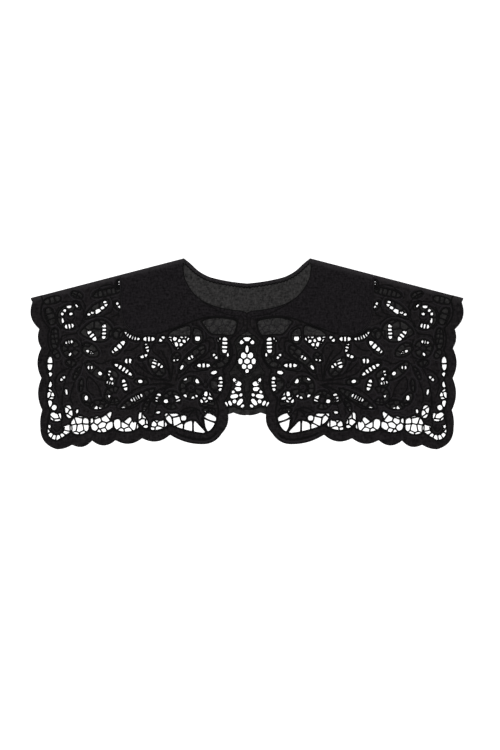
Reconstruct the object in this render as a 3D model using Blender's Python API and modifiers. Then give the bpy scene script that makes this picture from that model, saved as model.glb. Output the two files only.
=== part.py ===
"""A detachable cutwork collar, laid flat with its two front panels on top of its back.

The cloth is worked out flat, as a maker would cut it, for the wearer's right half. The back lies
below the shoulder line and the front is unfolded above it. The half is then folded over the
shoulder line and mirrored. Lengths are in millimetres, with x across, y towards the neck and z up
from the surface.
"""

import math
import random
from collections import namedtuple

import bmesh
import bpy
from mathutils import Vector
from mathutils.geometry import delaunay_2d_cdt

for thing in list(bpy.data.objects):
    bpy.data.objects.remove(thing, do_unlink=True)

MM = 0.001
YOKE_THICK = 1.2
LACE_THICK = 1.2
BORDER_THICK = 1.6
BINDING_THICK = 1.7
BINDING_WIDTH = 5.0
SEAM_GAP = 0.3
LACE_RIM = 1.5
NET_BAR = 1.5
FARTHEST_SEED = 30.0
GAPS_A_HALF = 148
SMALLEST_GAP = 13.0

# The fold over the shoulder: a half cylinder between the back and the front lying on it.
NECK_POINT = Vector((-81.0, 123.0))
SHOULDER_TIP = Vector((-281.0, 71.0))
FOLD_RADIUS = 1.0
FOLD_STEPS = 4
LAYER_RISE = 2 * FOLD_RADIUS
ALONG = (SHOULDER_TIP - NECK_POINT).normalized()
OUTWARD = Vector((ALONG.y, -ALONG.x))

# Beyond the back's edge the front comes down to the surface.
DROP_START = 5.0
DROP_LENGTH = 16.0

# Points past the centre back, which the mirror cuts off.
PAST_CENTRE = 6.0

# This brings the middle of the whole collar to y = 0.
CENTRING = 0.753


# Outlines, each as (x, y) of a point and, for a scallop, how far it bulges on its way there.
Point = namedtuple("Point", "x y")
Scallop = namedtuple("Scallop", "x y bulge")

FRONT_NECK = [
    Point(-82.0, 123.0),
    Point(-83.2, 109.0),
    Point(-80.5, 95.0),
    Point(-71.0, 79.0),
    Point(-57.5, 67.5),
    Point(-40.0, 60.0),
    Point(-21.0, 56.0),
    Point(0.0, 53.5),
]
BACK_NECK = [
    Point(-81.0, 122.5),
    Point(-74.0, 116.8),
    Point(-63.7, 107.3),
    Point(-53.3, 101.0),
    Point(-43.0, 97.3),
    Point(-22.0, 93.0),
    Point(0.0, 90.4),
    Point(PAST_CENTRE, 90.4),
]
FRONT_YOKE = [
    Point(-164.5, 99.0),
    Point(-163.3, 72.0),
    Point(-162.4, 52.0),
    Point(-159.3, 41.0),
    Point(-153.0, 32.0),
    Point(-143.0, 26.4),
    Point(-131.5, 24.0),
    Point(-119.0, 24.6),
    Point(-102.5, 29.6),
    Point(-71.0, 41.0),
    Point(-58.8, 45.2),
    Point(-46.0, 47.2),
    Point(-33.5, 47.5),
    Point(-12.4, 44.2),
]
BACK_YOKE = [
    Point(-164.5, 99.0),
    Point(-150.0, 72.0),
    Point(-137.0, 47.0),
    Point(-130.0, 35.0),
    Point(-120.0, 26.0),
    Point(-106.0, 22.7),
    Point(-80.0, 22.7),
    Point(0.0, 22.7),
    Point(PAST_CENTRE, 22.7),
]
YOKE_FRONT_END = Point(0.0, 43.0)

# Where the back ends, taken straight: the front starts to come down a little way outside this.
BACK_REACH = [
    Point(PAST_CENTRE, 100.0),
    Point(-81.0, 123.0),
    Point(-281.0, 71.0),
    Point(-267.0, 30.0),
    Point(-255.0, -4.0),
    Point(-231.0, -32.0),
    Point(-231.0, -60.0),
    Point(-217.0, -79.0),
    Point(-17.0, -82.5),
    Point(PAST_CENTRE, -82.5),
]

FRONT_EDGE_START = Point(0.0, 27.3)
FRONT_EDGE = [
    Scallop(-16.9, 14.3, -2.0),
    Scallop(-23.4, -25.4, 6.8),
    Scallop(-30.5, -63.7, 5.6),
    Scallop(-24.7, -80.0, 2.5),
    Scallop(-33.0, -104.5, 3.0),
    Scallop(-60.0, -118.3, 4.5),
    Scallop(-100.0, -106.0, 3.0),
    Scallop(-136.5, -110.5, 6.6),
    Scallop(-171.0, -113.0, 6.1),
    Scallop(-201.5, -113.5, 6.8),
    Scallop(-227.5, -119.0, 5.5),
    Scallop(-247.0, -125.0, 1.5),
    Scallop(-268.5, -96.0, 7.0),
    Scallop(-266.0, -74.0, 1.2),
    Scallop(-267.0, -32.5, 5.0),
    Scallop(-267.0, 6.5, 5.3),
    Scallop(-269.5, 31.2, 3.2),
    Scallop(-278.5, 66.3, 6.5),
    Scallop(-281.0, 70.8, 0.0),
]
BACK_EDGE = [
    Scallop(-275.0, 62.0, 0.0),
    Scallop(-262.0, 29.0, 4.0),
    Scallop(-252.0, -4.0, 4.0),
    Scallop(-226.0, -32.0, 4.0),
    Scallop(-226.0, -60.0, 3.0),
    Scallop(-214.0, -74.5, 5.0),
    Scallop(-196.0, -68.5, 4.0),
    Scallop(-160.0, -69.5, 4.6),
    Scallop(-124.0, -70.5, 4.6),
    Scallop(-88.0, -72.5, 4.6),
    Scallop(-52.5, -75.0, 4.4),
    Scallop(-17.5, -77.2, 4.2),
    Scallop(0.0, -80.8, 1.2),
]
BACK_EDGE_END = Point(PAST_CENTRE, -80.8)

FRONT_BAND = [
    Scallop(-22.8, 16.3, 3.2),
    Scallop(-31.7, -21.5, 8.0),
    Scallop(-40.6, -60.2, 6.8),
    Scallop(-38.6, -86.0, 2.3),
    Scallop(-57.5, -105.0, 5.0),
    Scallop(-100.2, -94.0, 1.5),
    Scallop(-137.8, -96.4, 6.0),
    Scallop(-174.0, -99.0, 5.6),
    Scallop(-204.0, -99.0, 5.2),
    Scallop(-229.5, -103.5, 5.4),
    Scallop(-247.0, -114.5, 0.5),
    Scallop(-260.0, -97.0, 5.5),
    Scallop(-256.0, -75.5, 0.0),
    Scallop(-256.0, -34.0, 4.6),
    Scallop(-255.5, 4.0, 5.0),
    Scallop(-256.0, 32.5, 3.0),
    Scallop(-265.0, 67.0, 6.5),
    Scallop(-267.0, 74.4, 0.0),
]
BACK_BAND = [
    Scallop(-263.0, 64.0, 0.0),
    Scallop(-251.0, 30.0, 3.0),
    Scallop(-241.0, 0.0, 3.0),
    Scallop(-216.0, -28.0, 3.0),
    Scallop(-215.0, -58.0, 2.4),
    Scallop(-208.0, -65.0, 2.0),
    Scallop(-196.0, -60.0, 2.0),
    Scallop(-160.0, -60.5, 4.0),
    Scallop(-124.0, -61.5, 4.0),
    Scallop(-88.0, -63.5, 4.0),
    Scallop(-52.5, -66.0, 4.0),
    Scallop(-17.0, -69.6, 3.8),
    Scallop(0.0, -73.0, 1.4),
]
BACK_BAND_END = Point(PAST_CENTRE, -73.0)

# Windows of the cutwork. Each is an oval, more pointed as "ends" grows, bowed by "bend", and
# bars cut it into "cells" along it and "rows" across it.
Window = namedtuple("Window", "x y length width angle bend ends cells rows")
FRONT_WINDOWS = [
    Window(-182, 79, 36, 8, 13, 0, 0.7, 6, 1),
    Window(-167.5, 89.5, 12, 5, 82, 0, 0.8, 3, 1),
    Window(-168.5, 62, 12, 6, -62, 0, 0.9, 2, 1),
    Window(-253, 69, 22, 8, 15, 0, 0.8, 3, 1),
    Window(-256, 48, 22, 11, -72, 0, 0.8, 3, 1),
    Window(-250, 19, 26, 9, 90, 0, 0.8, 4, 1),
    Window(-248, -1, 12, 7, -58, 0, 0.9, 2, 1),
    Window(-221, 76, 15, 7, -22, 0, 0.9, 2, 1),
    Window(-221, 61.5, 12, 5, -44, 0, 0.9, 2, 1),
    Window(-228.8, 51, 6, 5, 25, 0, 0.8, 1, 1),
    Window(-127.5, 18.2, 17, 7, 0, 0, 0.8, 3, 1),
    Window(-130.5, 6.5, 12, 6, -78, 0, 0.8, 3, 1),
    Window(-134.5, -5, 13, 6, 25, 0, 0.9, 3, 1),
    Window(-110.8, 18.5, 11, 5.5, 50, 0, 0.8, 2, 1),
    Window(-154.2, -10.3, 10, 8, 2, 0, 0.8, 2, 1),
    Window(-161, -22.5, 33, 9, -36, 2, 1.0, 3, 1),
    Window(-137.5, -37, 17, 7, -5, 0, 0.9, 3, 1),
    Window(-158.8, -41.6, 18, 7, -75, 0, 0.9, 3, 1),
    Window(-142, -59, 50, 9, 29, 0, 1.2, 7, 1),
    Window(-131, -67, 17, 5, 66, 0, 1.0, 3, 1),
    Window(-115.5, -77, 6, 3.6, 10, 0, 0.9, 1, 1),
    Window(-195, -23, 35, 10, -38, -2, 0.9, 5, 1),
    Window(-229, -13, 13, 7, -12, 0, 0.9, 2, 1),
    Window(-221, -26, 17, 4.5, 62, 0, 1.0, 3, 1),
    Window(-239.5, -33, 9, 4, 42, 0, 0.9, 2, 1),
    Window(-234.6, -50.4, 8, 3.2, -80, 0, 0.9, 1, 1),
    Window(-215.5, -42, 16, 4.5, 84, 0, 1.0, 2, 1),
    Window(-209, -60, 17, 9, -60, 0, 0.9, 2, 2),
    Window(-192, -67, 24, 11, 8, 0, 0.9, 3, 2),
    Window(-231.5, -76, 17, 9, -78, 0, 0.8, 2, 2),
    Window(-220.7, -75.5, 6, 3.4, 80, 0, 0.9, 1, 1),
    Window(-256, -13.5, 18, 6.5, 88, 0, 0.9, 2, 1),
    Window(-256, -27.7, 6, 5, 50, 0, 0.8, 1, 1),
    Window(-256.4, -40.5, 8, 5.5, 95, 0, 0.9, 1, 1),
    Window(-256.8, -65.8, 9, 6.3, 72, 0, 0.8, 1, 1),
    Window(-250.6, -70.8, 7, 6.5, 60, 0, 0.8, 1, 1),
    Window(-82.5, -84.3, 7.4, 7, 0, 0, 0.7, 1, 1),
    Window(-41.6, -4.2, 9, 4.6, -50, 0, 0.8, 2, 1),
    Window(-43, -25.5, 9, 5.4, 14, 0, 0.9, 1, 1),
]
BACK_WINDOWS = [
    Window(-166.5, 89.3, 9, 3.2, 82, 0, 0.8, 3, 1),
    Window(-194.8, 56.3, 28, 6.4, 32, 0, 1.0, 5, 1),
    Window(-167.2, 62.3, 9, 3.8, -57, 0, 0.8, 2, 1),
    Window(-186, 28, 19.5, 5.6, 88, 0, 0.6, 4, 1),
    Window(-201.5, 22.7, 16.5, 6.4, -51, 0, 0.8, 3, 1),
    Window(-231.5, 61.3, 7, 6.4, 0, 0, 0.8, 1, 1),
    Window(-238.5, 53, 9.5, 4.4, 55, 0, 0.7, 2, 1),
    Window(-239.3, 43, 8.5, 3.4, 88, 0, 0.9, 1, 1),
    Window(-231, 35, 12, 6.6, 10, 0, 0.8, 3, 1),
    Window(-228.8, 51, 5, 3.8, 25, 0, 0.8, 1, 1),
    Window(-221.5, 61.4, 5, 2.6, -50, 0, 0.9, 1, 1),
    Window(-231.5, 14.3, 10.5, 5, 8, 0, 0.8, 3, 1),
    Window(-230, -1.7, 5, 3, 60, 0, 0.8, 1, 1),
    Window(-204.5, 1.4, 10.5, 3.8, -22, 0, 0.9, 2, 1),
    Window(-174.5, 2, 4.8, 3, -55, 0, 0.8, 1, 1),
    Window(-166, 9, 19, 7, 42, 0, 1.0, 3, 1),
    Window(-149.5, 22.5, 22, 5, -24, -2, 0.7, 6, 1),
    Window(-127.5, 18.3, 15, 6, 0, 0, 0.8, 3, 1),
    Window(-129.8, 7.5, 13, 5, -75, 0, 0.8, 3, 1),
    Window(-134, -3.6, 10, 5, 22, 0, 0.8, 2, 1),
    Window(-164.2, 42, 3.6, 3.2, 0, 0, 0.8, 1, 1),
    Window(-110.6, 18.6, 9.5, 4.8, 50, 0, 0.8, 2, 1),
    Window(-92.5, -9, 7.5, 3.4, 12, 0, 0.8, 2, 1),
    Window(-154.2, -10.3, 9, 6.6, 2, 0, 0.7, 2, 1),
    Window(-120.3, -13.3, 13.5, 6.8, 72, 0, 0.9, 3, 1),
    Window(-113, -16.2, 8.5, 5, -38, 0, 0.9, 2, 1),
    Window(-161, -21.8, 27, 5.8, -33, 1, 1.0, 5, 1),
    Window(-138.8, -36.8, 6, 4.4, -10, 0, 0.8, 1, 1),
    Window(-159, -41.5, 15, 5.6, -75, 0, 0.8, 3, 1),
    Window(-178.8, -26, 6.8, 4.2, 80, 0, 0.8, 2, 1),
    Window(-176.2, -33.5, 4.6, 3.6, -30, 0, 0.8, 1, 1),
    Window(-178.2, -38.8, 9.5, 5, -15, 0, 0.8, 3, 1),
    Window(-176.6, -56.4, 8.5, 4.6, -15, 0, 0.8, 2, 1),
    Window(-143.6, -58.3, 17, 6.6, 27, 0, 0.7, 5, 1),
    Window(-119.6, -45, 3.4, 2.4, 0, 0, 0.8, 1, 1),
    Window(-209, -58.3, 6.5, 4.4, 90, 0, 0.8, 1, 1),
    Window(-204, -18.8, 6.8, 5.4, 0, 0, 0.8, 2, 1),
    Window(-191, -26.5, 5.4, 4.6, -40, 0, 0.8, 1, 1),
    Window(-115.5, -58.6, 13.5, 6.6, 76, 0, 0.8, 3, 1),
    Window(-105.3, -62.6, 6, 5, 0, 0, 0.8, 1, 1),
    Window(-94, -59.4, 15, 9, -14, 0, 0.8, 2, 2),
    Window(-64.3, 19, 6.8, 6.6, 0, 0, 0.8, 1, 1),
    Window(-70.4, 21.3, 2.8, 2.6, 0, 0, 0.8, 1, 1),
    Window(-73.2, -5.8, 8.5, 5, 30, 0, 0.9, 2, 1),
    Window(-84.9, -18.6, 7, 3.6, 55, 0, 0.8, 1, 1),
    Window(-56.5, -16.1, 17, 5.4, 0, 0, 0.9, 3, 1),
    Window(-80.9, -33.2, 6, 4.8, 0, 0, 0.8, 1, 1),
    Window(-62.6, -35.4, 10, 6.6, 30, 0, 0.8, 2, 1),
    Window(-80.6, -56, 4.8, 4.8, 40, 0, 0.8, 1, 1),
    Window(-67.4, -58, 11, 6.4, 25, 0, 0.9, 2, 1),
    Window(-36.8, 17, 8.5, 3.6, 55, 0, 0.8, 2, 1),
    Window(-29, 10.5, 21, 7, 88, 0, 0.6, 4, 1),
    Window(-25, -2.4, 5, 2.8, 88, 0, 0.8, 1, 1),
    Window(-41.5, -4.2, 8.5, 4, -50, 0, 0.8, 2, 1),
    Window(-43, -25.2, 8.4, 5, 14, 0, 1.0, 1, 1),
    Window(-34.6, -40, 19, 6.4, 88, 0, 0.7, 4, 1),
    Window(0, 18, 11, 5.4, 0, 0, 0.8, 1, 1),
    Window(-6.6, 14.4, 6.6, 5, 48, 0, 0.8, 1, 1),
    Window(0.6, 5, 11, 5.6, 90, 0, 1.1, 1, 1),
    Window(-4.2, -3.2, 8.4, 7.6, 90, 0, 0.8, 1, 1),
    Window(-8.6, -10.6, 7.8, 5.6, 90, 0, 0.8, 1, 1),
    Window(0, -10.6, 7.6, 7.6, 90, 0, 0.8, 1, 1),
    Window(-3.8, -17.4, 6.6, 6.2, 90, 0, 0.8, 1, 1),
    Window(0, -23.4, 5.6, 5.2, 90, 0, 1.0, 1, 1),
    Window(-16, -35.8, 7, 4, -62, 0, 0.9, 1, 1),
    Window(-11.4, -39.8, 8.6, 6.4, -12, 0, 0.9, 1, 1),
    Window(-12, -46.8, 8.8, 5.6, 0, 0, 0.7, 1, 1),
    Window(-17.6, -50.2, 5.4, 3.8, 38, 0, 0.8, 1, 1),
    Window(-16.6, -56.2, 10.6, 5.6, 10, 0, 0.8, 1, 1),
    Window(-8, -54.4, 4.6, 4.2, 45, 0, 0.8, 1, 1),
    Window(-16.3, -62.9, 5.4, 5.4, 14, 0, 0.9, 1, 1),
    Window(-9.3, -63.6, 10.5, 5.6, 50, 0, 0.8, 1, 1),
    Window(-5.9, -68.8, 5.4, 3.6, 38, 0, 0.8, 1, 1),
    Window(-22.1, -65.1, 7.2, 4.2, -62, 0, 0.8, 1, 1),
    Window(-26.8, -66.4, 6.6, 3.2, -68, 0, 0.8, 1, 1),
]

# Wider openings by the points of their edge, filled with a net of about the given pitch.
Net = namedtuple("Net", "pitch points")
FRONT_NETS = [
    Net(10, [(-58, 41.5), (-46, 45.3), (-33, 45.6), (-16, 42.4), (-13, 36), (-15.5, 27), (-21, 23.5),
             (-33, 24.5), (-45, 25), (-51, 30), (-55, 36)]),
    Net(11, [(-97.5, 28), (-87, 32.5), (-76, 35.5), (-73.5, 29), (-75.5, 17), (-82, 10.5),
            (-89.5, 5), (-94.5, 9), (-99, 15.5), (-102.5, 22)]),
    Net(11, [(-69, 31), (-62.5, 30.5), (-58.5, 25), (-58.5, 16), (-65, 12.5), (-69.5, 17)]),
    Net(9, [(-88.4, -24), (-86.5, -14.5), (-78, -4), (-67.5, 5), (-57.5, 9.5), (-54.5, 5),
            (-57.5, -2), (-66, -8.5), (-76.5, -15.5), (-84.5, -22.5)]),
    Net(12, [(-68.5, -17.5), (-63.5, -13), (-56, -11.5), (-48, -13.5), (-48.5, -18.5),
            (-57, -21), (-65, -20.5)]),
    Net(11, [(-38.5, 17), (-34, 20.5), (-26.5, 19.5), (-23, 9), (-22.5, -4), (-25.5, -12),
              (-32.5, -17.5), (-40, -19), (-45, -17.5), (-41.5, -13), (-34.5, -8), (-36, 0),
              (-36, 10)]),
    Net(11, [(-39, -31), (-33.5, -30), (-31.8, -35), (-31.8, -43), (-34, -49), (-39, -51.5),
            (-45.5, -46.5), (-47.5, -38), (-44, -33.5)]),
    Net(12, [(-56, -50.5), (-49, -50), (-45, -56.5), (-43, -63), (-43.5, -68), (-48, -67),
              (-53.5, -69), (-60, -67.5), (-60.5, -59)]),
    Net(8, [(-57, -73.3), (-51.5, -71.6), (-43.5, -72.6), (-42, -76.6), (-48, -74.8), (-54, -76.8)]),
    Net(14, [(-82.3, -96.5), (-80.5, -91), (-75, -88.4), (-68, -88), (-62, -94), (-54.6, -102.4),
             (-57.5, -104.4), (-69, -104.4), (-79.3, -102)]),
    Net(13, [(-58, -84.6), (-54.6, -81.9), (-50.7, -78), (-40.8, -83), (-40.5, -87.5),
             (-44.2, -96), (-49.8, -101.6), (-52.4, -99.6), (-55.6, -92)]),
    Net(10.5, [(-106, -78.5), (-98, -78.7), (-91, -78.5), (-87.5, -83), (-86.5, -88),
              (-83, -93.5), (-83.5, -98), (-88, -97.5), (-95, -94), (-101, -90.5), (-106, -84)]),
    Net(9.3, [(-228.8, -91), (-224, -83.5), (-217.5, -81.5), (-212, -83.5), (-206.5, -86),
              (-205.8, -92), (-206.5, -100), (-212, -106), (-224, -106), (-229, -101)]),
    Net(9.3, [(-203, -85), (-199, -85), (-195, -82), (-190, -84), (-186, -82), (-180, -77.5),
              (-176.5, -76), (-176, -79), (-178, -85.5), (-175, -89), (-175, -97),
              (-181, -102.5), (-192, -103.5), (-200.5, -100.5), (-203, -93)]),
    Net(9.3, [(-172.5, -87.5), (-167, -85.5), (-163.5, -89), (-159.5, -88.5), (-152.5, -83),
              (-150, -86), (-148, -90.5), (-145, -89), (-141.5, -93.5), (-142, -98),
              (-148.5, -101), (-160, -102), (-169, -99.5), (-172.5, -95)]),
    Net(8.5, [(-141, -84.5), (-140.4, -78), (-136, -77.2), (-134, -82), (-131, -84.5),
              (-129, -90), (-129, -96.5), (-133.5, -97), (-137.5, -93), (-141.3, -89)]),
    Net(9.3, [(-125, -98.5), (-123.3, -90), (-119.5, -87), (-112.5, -88.3), (-108.3, -87),
              (-104.8, -91), (-104.3, -94), (-108, -97), (-115.7, -99.5), (-122, -100.3)]),
    Net(6, [(-260.6, -49.4), (-257.4, -46.5), (-253.5, -49.4), (-250.5, -54.6), (-252.2, -59.5),
            (-256, -59.5), (-260, -59.8), (-261, -55)]),
    Net(6.5, [(-255.5, -79.5), (-252, -77), (-248, -79), (-245.5, -79), (-242.5, -78),
              (-241.5, -82.5), (-242.3, -87), (-246.4, -88.5), (-251, -88), (-255, -85.8)]),
    Net(12, [(-216, 27), (-205, 38.5), (-194, 42.5), (-185, 41.5), (-177, 34), (-176, 24),
            (-186, 15.8), (-197.5, 15.8), (-207, 20.5)]),
    Net(7, [(-173, 29), (-166.5, 32), (-161.5, 27.5), (-163, 21.8), (-168.5, 18.5), (-173, 21)]),
    Net(11, [(-210, 46.8), (-207.5, 53), (-199, 62), (-187.5, 68), (-180.5, 69), (-181, 62.5),
              (-189.5, 54.5), (-200, 47.8), (-207.5, 45)]),
    Net(9, [(-215, 7), (-211.6, 12), (-204.6, 12.5), (-197.6, 8), (-193, 0.5), (-195, -4),
              (-204.6, -4), (-212, 1.3)]),
    Net(11, [(-176, 0), (-174.5, 5), (-168, 11), (-163, 17), (-157.5, 17.5), (-157, 13),
              (-160, 9), (-165.5, 2), (-171.6, -2.6)]),
    Net(11, [(-160, 30), (-156.5, 30), (-151.5, 25.3), (-145, 22.5), (-138.5, 21.3),
              (-138.5, 17), (-145.6, 16), (-153, 18.5), (-158, 24.5)]),
    Net(6.5, [(-97.5, -10), (-95.5, -3), (-91.5, 0.5), (-87.5, -2.5), (-87.5, -8.5), (-92, -11.5)]),
    Net(11, [(-126.5, -6.5), (-122.2, -7), (-113, -12.5), (-107.5, -19.5), (-107.5, -27),
              (-113, -29.5), (-119.5, -26.5), (-124.8, -18), (-127.8, -11)]),
    Net(11, [(-181.5, -21.5), (-176.8, -21), (-169.5, -25.5), (-168, -30.5), (-170.5, -35),
              (-172, -42.5), (-179.4, -44), (-183, -40), (-182, -32.5), (-182.2, -26)]),
]
BACK_NETS = [
    Net(6.6, [(-102, 23), (-88, 24.5), (-75, 24.5), (-75, 18.5), (-82, 12), (-90, 5.5),
              (-94.5, 9), (-100.5, 16.5)]),
    Net(7, [(-56, -51), (-49.5, -50.5), (-46, -57), (-44, -62.5), (-48, -63.5), (-53.5, -64),
              (-60, -64.5), (-60.5, -59)]),
]
NET_UNEVEN = 0.3

# Rosettes of the front: a ring of cells round a worked centre.
Rosette = namedtuple("Rosette", "x y inner outer cells start sweep")
FRONT_ROSETTES = [
    Rosette(-230.5, 46.5, 8.5, 15.5, 10, 62, 236),
    Rosette(-229, 6, 4.5, 11.0, 7, 20, 320),
    Rosette(-247, -98, 9.0, 19.0, 9, 155, 222),
    Rosette(-173, -55, 4.5, 11.5, 7, 60, 250),
    Rosette(-72.5, -45, 6.5, 14.5, 10, 20, 325),
    Rosette(-98, -61, 5.0, 11.5, 9, -20, 320),
    Rosette(-115.5, -59, 0.8, 6.8, 5, 35, 290),
]


def unit(angle):
    return Vector((math.cos(math.radians(angle)), math.sin(math.radians(angle))))


def across(vector):
    return Vector((-vector.y, vector.x))


def smooth(points, steps=2):
    """A soft curve through the points."""
    points = [Vector((p.x, p.y)) for p in points]
    ends = [2 * points[0] - points[1], *points, 2 * points[-1] - points[-2]]
    curve = [points[0]]
    for before, start, end, after in zip(ends, ends[1:], ends[2:], ends[3:]):
        for step in range(1, steps + 1):
            t = step / steps
            curve.append(
                0.5
                * (
                    2 * start
                    + (end - before) * t
                    + (2 * before - 5 * start + 4 * end - after) * t * t
                    + (3 * start - before - 3 * end + after) * t * t * t
                )
            )
    return curve


def scalloped(start, scallops, outwards, steps=4):
    """Arcs from one notch to the next, each bulging to the left of its way, or to the right for -1."""
    curve = [Vector((start.x, start.y))]
    for scallop in scallops:
        begin, end = curve[-1], Vector((scallop.x, scallop.y))
        chord = end - begin
        count = steps if abs(scallop.bulge) > 1.0 else 1
        for step in range(1, count + 1):
            t = step / count
            reach = outwards * scallop.bulge * 4 * t * (1 - t)
            curve.append(begin + chord * t + across(chord.normalized()) * reach)
    return curve


def unfold(point):
    """A point of the front as it lies, moved to its place in the flat cloth."""
    inside = -(point - NECK_POINT).dot(OUTWARD)
    return point + OUTWARD * (2 * inside + (math.pi - 2) * FOLD_RADIUS)


def folded(point, thickness):
    """Where a point of the flat cloth lies, and the way its upper side faces there."""
    beyond = (point - NECK_POINT).dot(OUTWARD)
    base = point - OUTWARD * beyond
    turn = min(max((beyond + FOLD_RADIUS) / FOLD_RADIUS, 0.0), math.pi)
    if turn == 0.0:
        place = point
    else:
        flat = max(beyond + FOLD_RADIUS - math.pi * FOLD_RADIUS, 0.0)
        place = base + OUTWARD * (-FOLD_RADIUS + FOLD_RADIUS * math.sin(turn) - flat)
    rise = FOLD_RADIUS * (1 - math.cos(turn))
    if turn == math.pi:
        t = min(max((distance_outside(place, BACK_SHAPE) - DROP_START) / DROP_LENGTH, 0.0), 1.0)
        rise -= LAYER_RISE * t * t * (3 - 2 * t)
    side = -math.sin(turn) * OUTWARD
    return (
        Vector((place.x, place.y + CENTRING, thickness / 2 + rise)),
        Vector((side.x, side.y, math.cos(turn))),
    )


def is_inside(point, polygon):
    inside = False
    for a, b in zip(polygon, polygon[1:] + polygon[:1]):
        if (a.y > point.y) != (b.y > point.y):
            if point.x < a.x + (point.y - a.y) * (b.x - a.x) / (b.y - a.y):
                inside = not inside
    return inside


def distance_outside(point, polygon):
    if is_inside(point, polygon):
        return 0.0
    nearest = math.inf
    for a, b in zip(polygon, polygon[1:] + polygon[:1]):
        side = b - a
        t = min(max((point - a).dot(side) / max(side.length_squared, 1e-9), 0.0), 1.0)
        nearest = min(nearest, (point - a - side * t).length)
    return nearest


def area(polygon):
    return 0.5 * sum(a.x * b.y - b.x * a.y for a, b in zip(polygon, polygon[1:] + polygon[:1]))


def anticlockwise(polygon):
    return polygon if area(polygon) > 0 else polygon[::-1]


def inset(polygon, distance):
    """The polygon with each point moved inwards."""
    inwards = math.copysign(1.0, area(polygon))
    moved = []
    for before, here, after in zip(polygon[-1:] + polygon[:-1], polygon, polygon[1:] + polygon[:1]):
        first = across((here - before).normalized())
        second = across((after - here).normalized())
        middle = (first + second).normalized()
        moved.append(here + middle * inwards * distance / max(middle.dot(first), 0.5))
    return moved


def clipped(polygon, through, direction):
    """The part of the polygon on the near side of a line, which runs across the direction."""
    kept = []
    for a, b in zip(polygon, polygon[1:] + polygon[:1]):
        side_a, side_b = (a - through).dot(direction), (b - through).dot(direction)
        if side_a <= 0:
            kept.append(a)
        if side_a * side_b < 0:
            kept.append(a + (b - a) * side_a / (side_a - side_b))
    return kept


def tidied(polygon, shortest=1.3):
    """The polygon without its shortest sides."""
    kept = []
    for point in polygon:
        if not kept or (point - kept[-1]).length > shortest:
            kept.append(point)
    while len(kept) > 1 and (kept[0] - kept[-1]).length < shortest:
        kept.pop()
    return kept


def window_cells(window, bar):
    """The openings of one window: its oval, cut by bars into cells."""
    middle = Vector((window.x, window.y))
    along, wide = unit(window.angle), across(unit(window.angle))

    def place(u, v):
        bow = window.bend * (1 - (2 * u / window.length) ** 2)
        return middle + along * u + wide * (v + bow)

    count = 8 if window.length < 15 else 10 if window.length < 25 else 14
    outline = []
    for step in range(count):
        turn = 2 * math.pi * (step + 0.5) / count
        c, s = math.cos(turn), math.sin(turn)
        outline.append(
            place(
                window.length / 2 * math.copysign(abs(c) ** min(window.ends, 1.0), c),
                window.width / 2 * math.copysign(abs(s) ** window.ends, s),
            )
        )
    seeds = []
    for row in range(window.rows):
        shift = 0.25 * (-1) ** row if window.rows > 1 else 0.0
        for cell in range(window.cells):
            u = ((cell + 0.5 + shift) / window.cells - 0.5) * window.length * 0.96
            v = ((row + 0.5) / window.rows - 0.5) * window.width
            seeds.append(place(u, v))
    return netted(outline, seeds, bar)


def netted(outline, seeds, bar):
    """The outline cut by bars, one cell round each seed."""
    cells = []
    for seed in seeds:
        cell = outline
        for other in seeds:
            if other is not seed and cell and (other - seed).length < FARTHEST_SEED:
                gap = other - seed
                cell = clipped(cell, seed + gap / 2 - gap.normalized() * bar / 2, gap)
        cell = tidied(cell)
        if len(cell) > 2:
            cells.append(cell)
    return cells


def net_cells(net, bar):
    """The openings of one net, about as large as each other and none quite alike."""
    outline = [Vector(point) for point in net.points]
    low = Vector((min(x for x, _ in net.points), min(y for _, y in net.points)))
    high = Vector((max(x for x, _ in net.points), max(y for _, y in net.points)))
    uneven = random.Random(len(net.points) + int(-low.x))
    rise = net.pitch * 0.87
    seeds = []
    for row in range(int((high.y - low.y) / rise) + 2):
        for column in range(int((high.x - low.x) / net.pitch) + 2):
            spot = low + Vector(((column + 0.5 * (row % 2)) * net.pitch, row * rise))
            shift = Vector((uneven.uniform(-1, 1), uneven.uniform(-1, 1)))
            seed = spot + shift * NET_UNEVEN * net.pitch
            if distance_outside(seed, outline) < 0.25 * net.pitch:
                seeds.append(seed)
    return netted(outline, seeds, bar)


def rosette_cells(rosette, bar):
    """The openings of one rosette: sectors of a ring, with a bar between each two."""
    middle = Vector((rosette.x, rosette.y))
    cells = []
    for number in range(rosette.cells):
        begin = rosette.start + rosette.sweep * number / rosette.cells
        end = rosette.start + rosette.sweep * (number + 1) / rosette.cells
        outer_bar = math.degrees(bar / rosette.outer) / 2
        inner_bar = math.degrees(bar / rosette.inner) / 2
        outer = [
            middle + unit(begin + outer_bar + (end - begin - 2 * outer_bar) * t) * rosette.outer
            for t in (0.0, 0.5, 1.0)
        ]
        inner = [
            middle + unit(begin + inner_bar + (end - begin - 2 * inner_bar) * t) * rosette.inner
            for t in (1.0, 0.0)
        ]
        cells.append(outer + inner)
    return cells


def all_gaps(bar):
    """Every gap of the half, in the flat cloth, the largest first."""
    front = [cell for window in FRONT_WINDOWS for cell in window_cells(window, bar)]
    front += [cell for net in FRONT_NETS for cell in net_cells(net, bar)]
    front += [cell for rosette in FRONT_ROSETTES for cell in rosette_cells(rosette, bar)]
    gaps = [[unfold(point) for point in cell] for cell in front]
    gaps += [cell for window in BACK_WINDOWS for cell in window_cells(window, bar)]
    gaps += [cell for net in BACK_NETS for cell in net_cells(net, bar)]
    return sorted(gaps, key=lambda gap: -abs(area(gap)))


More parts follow.
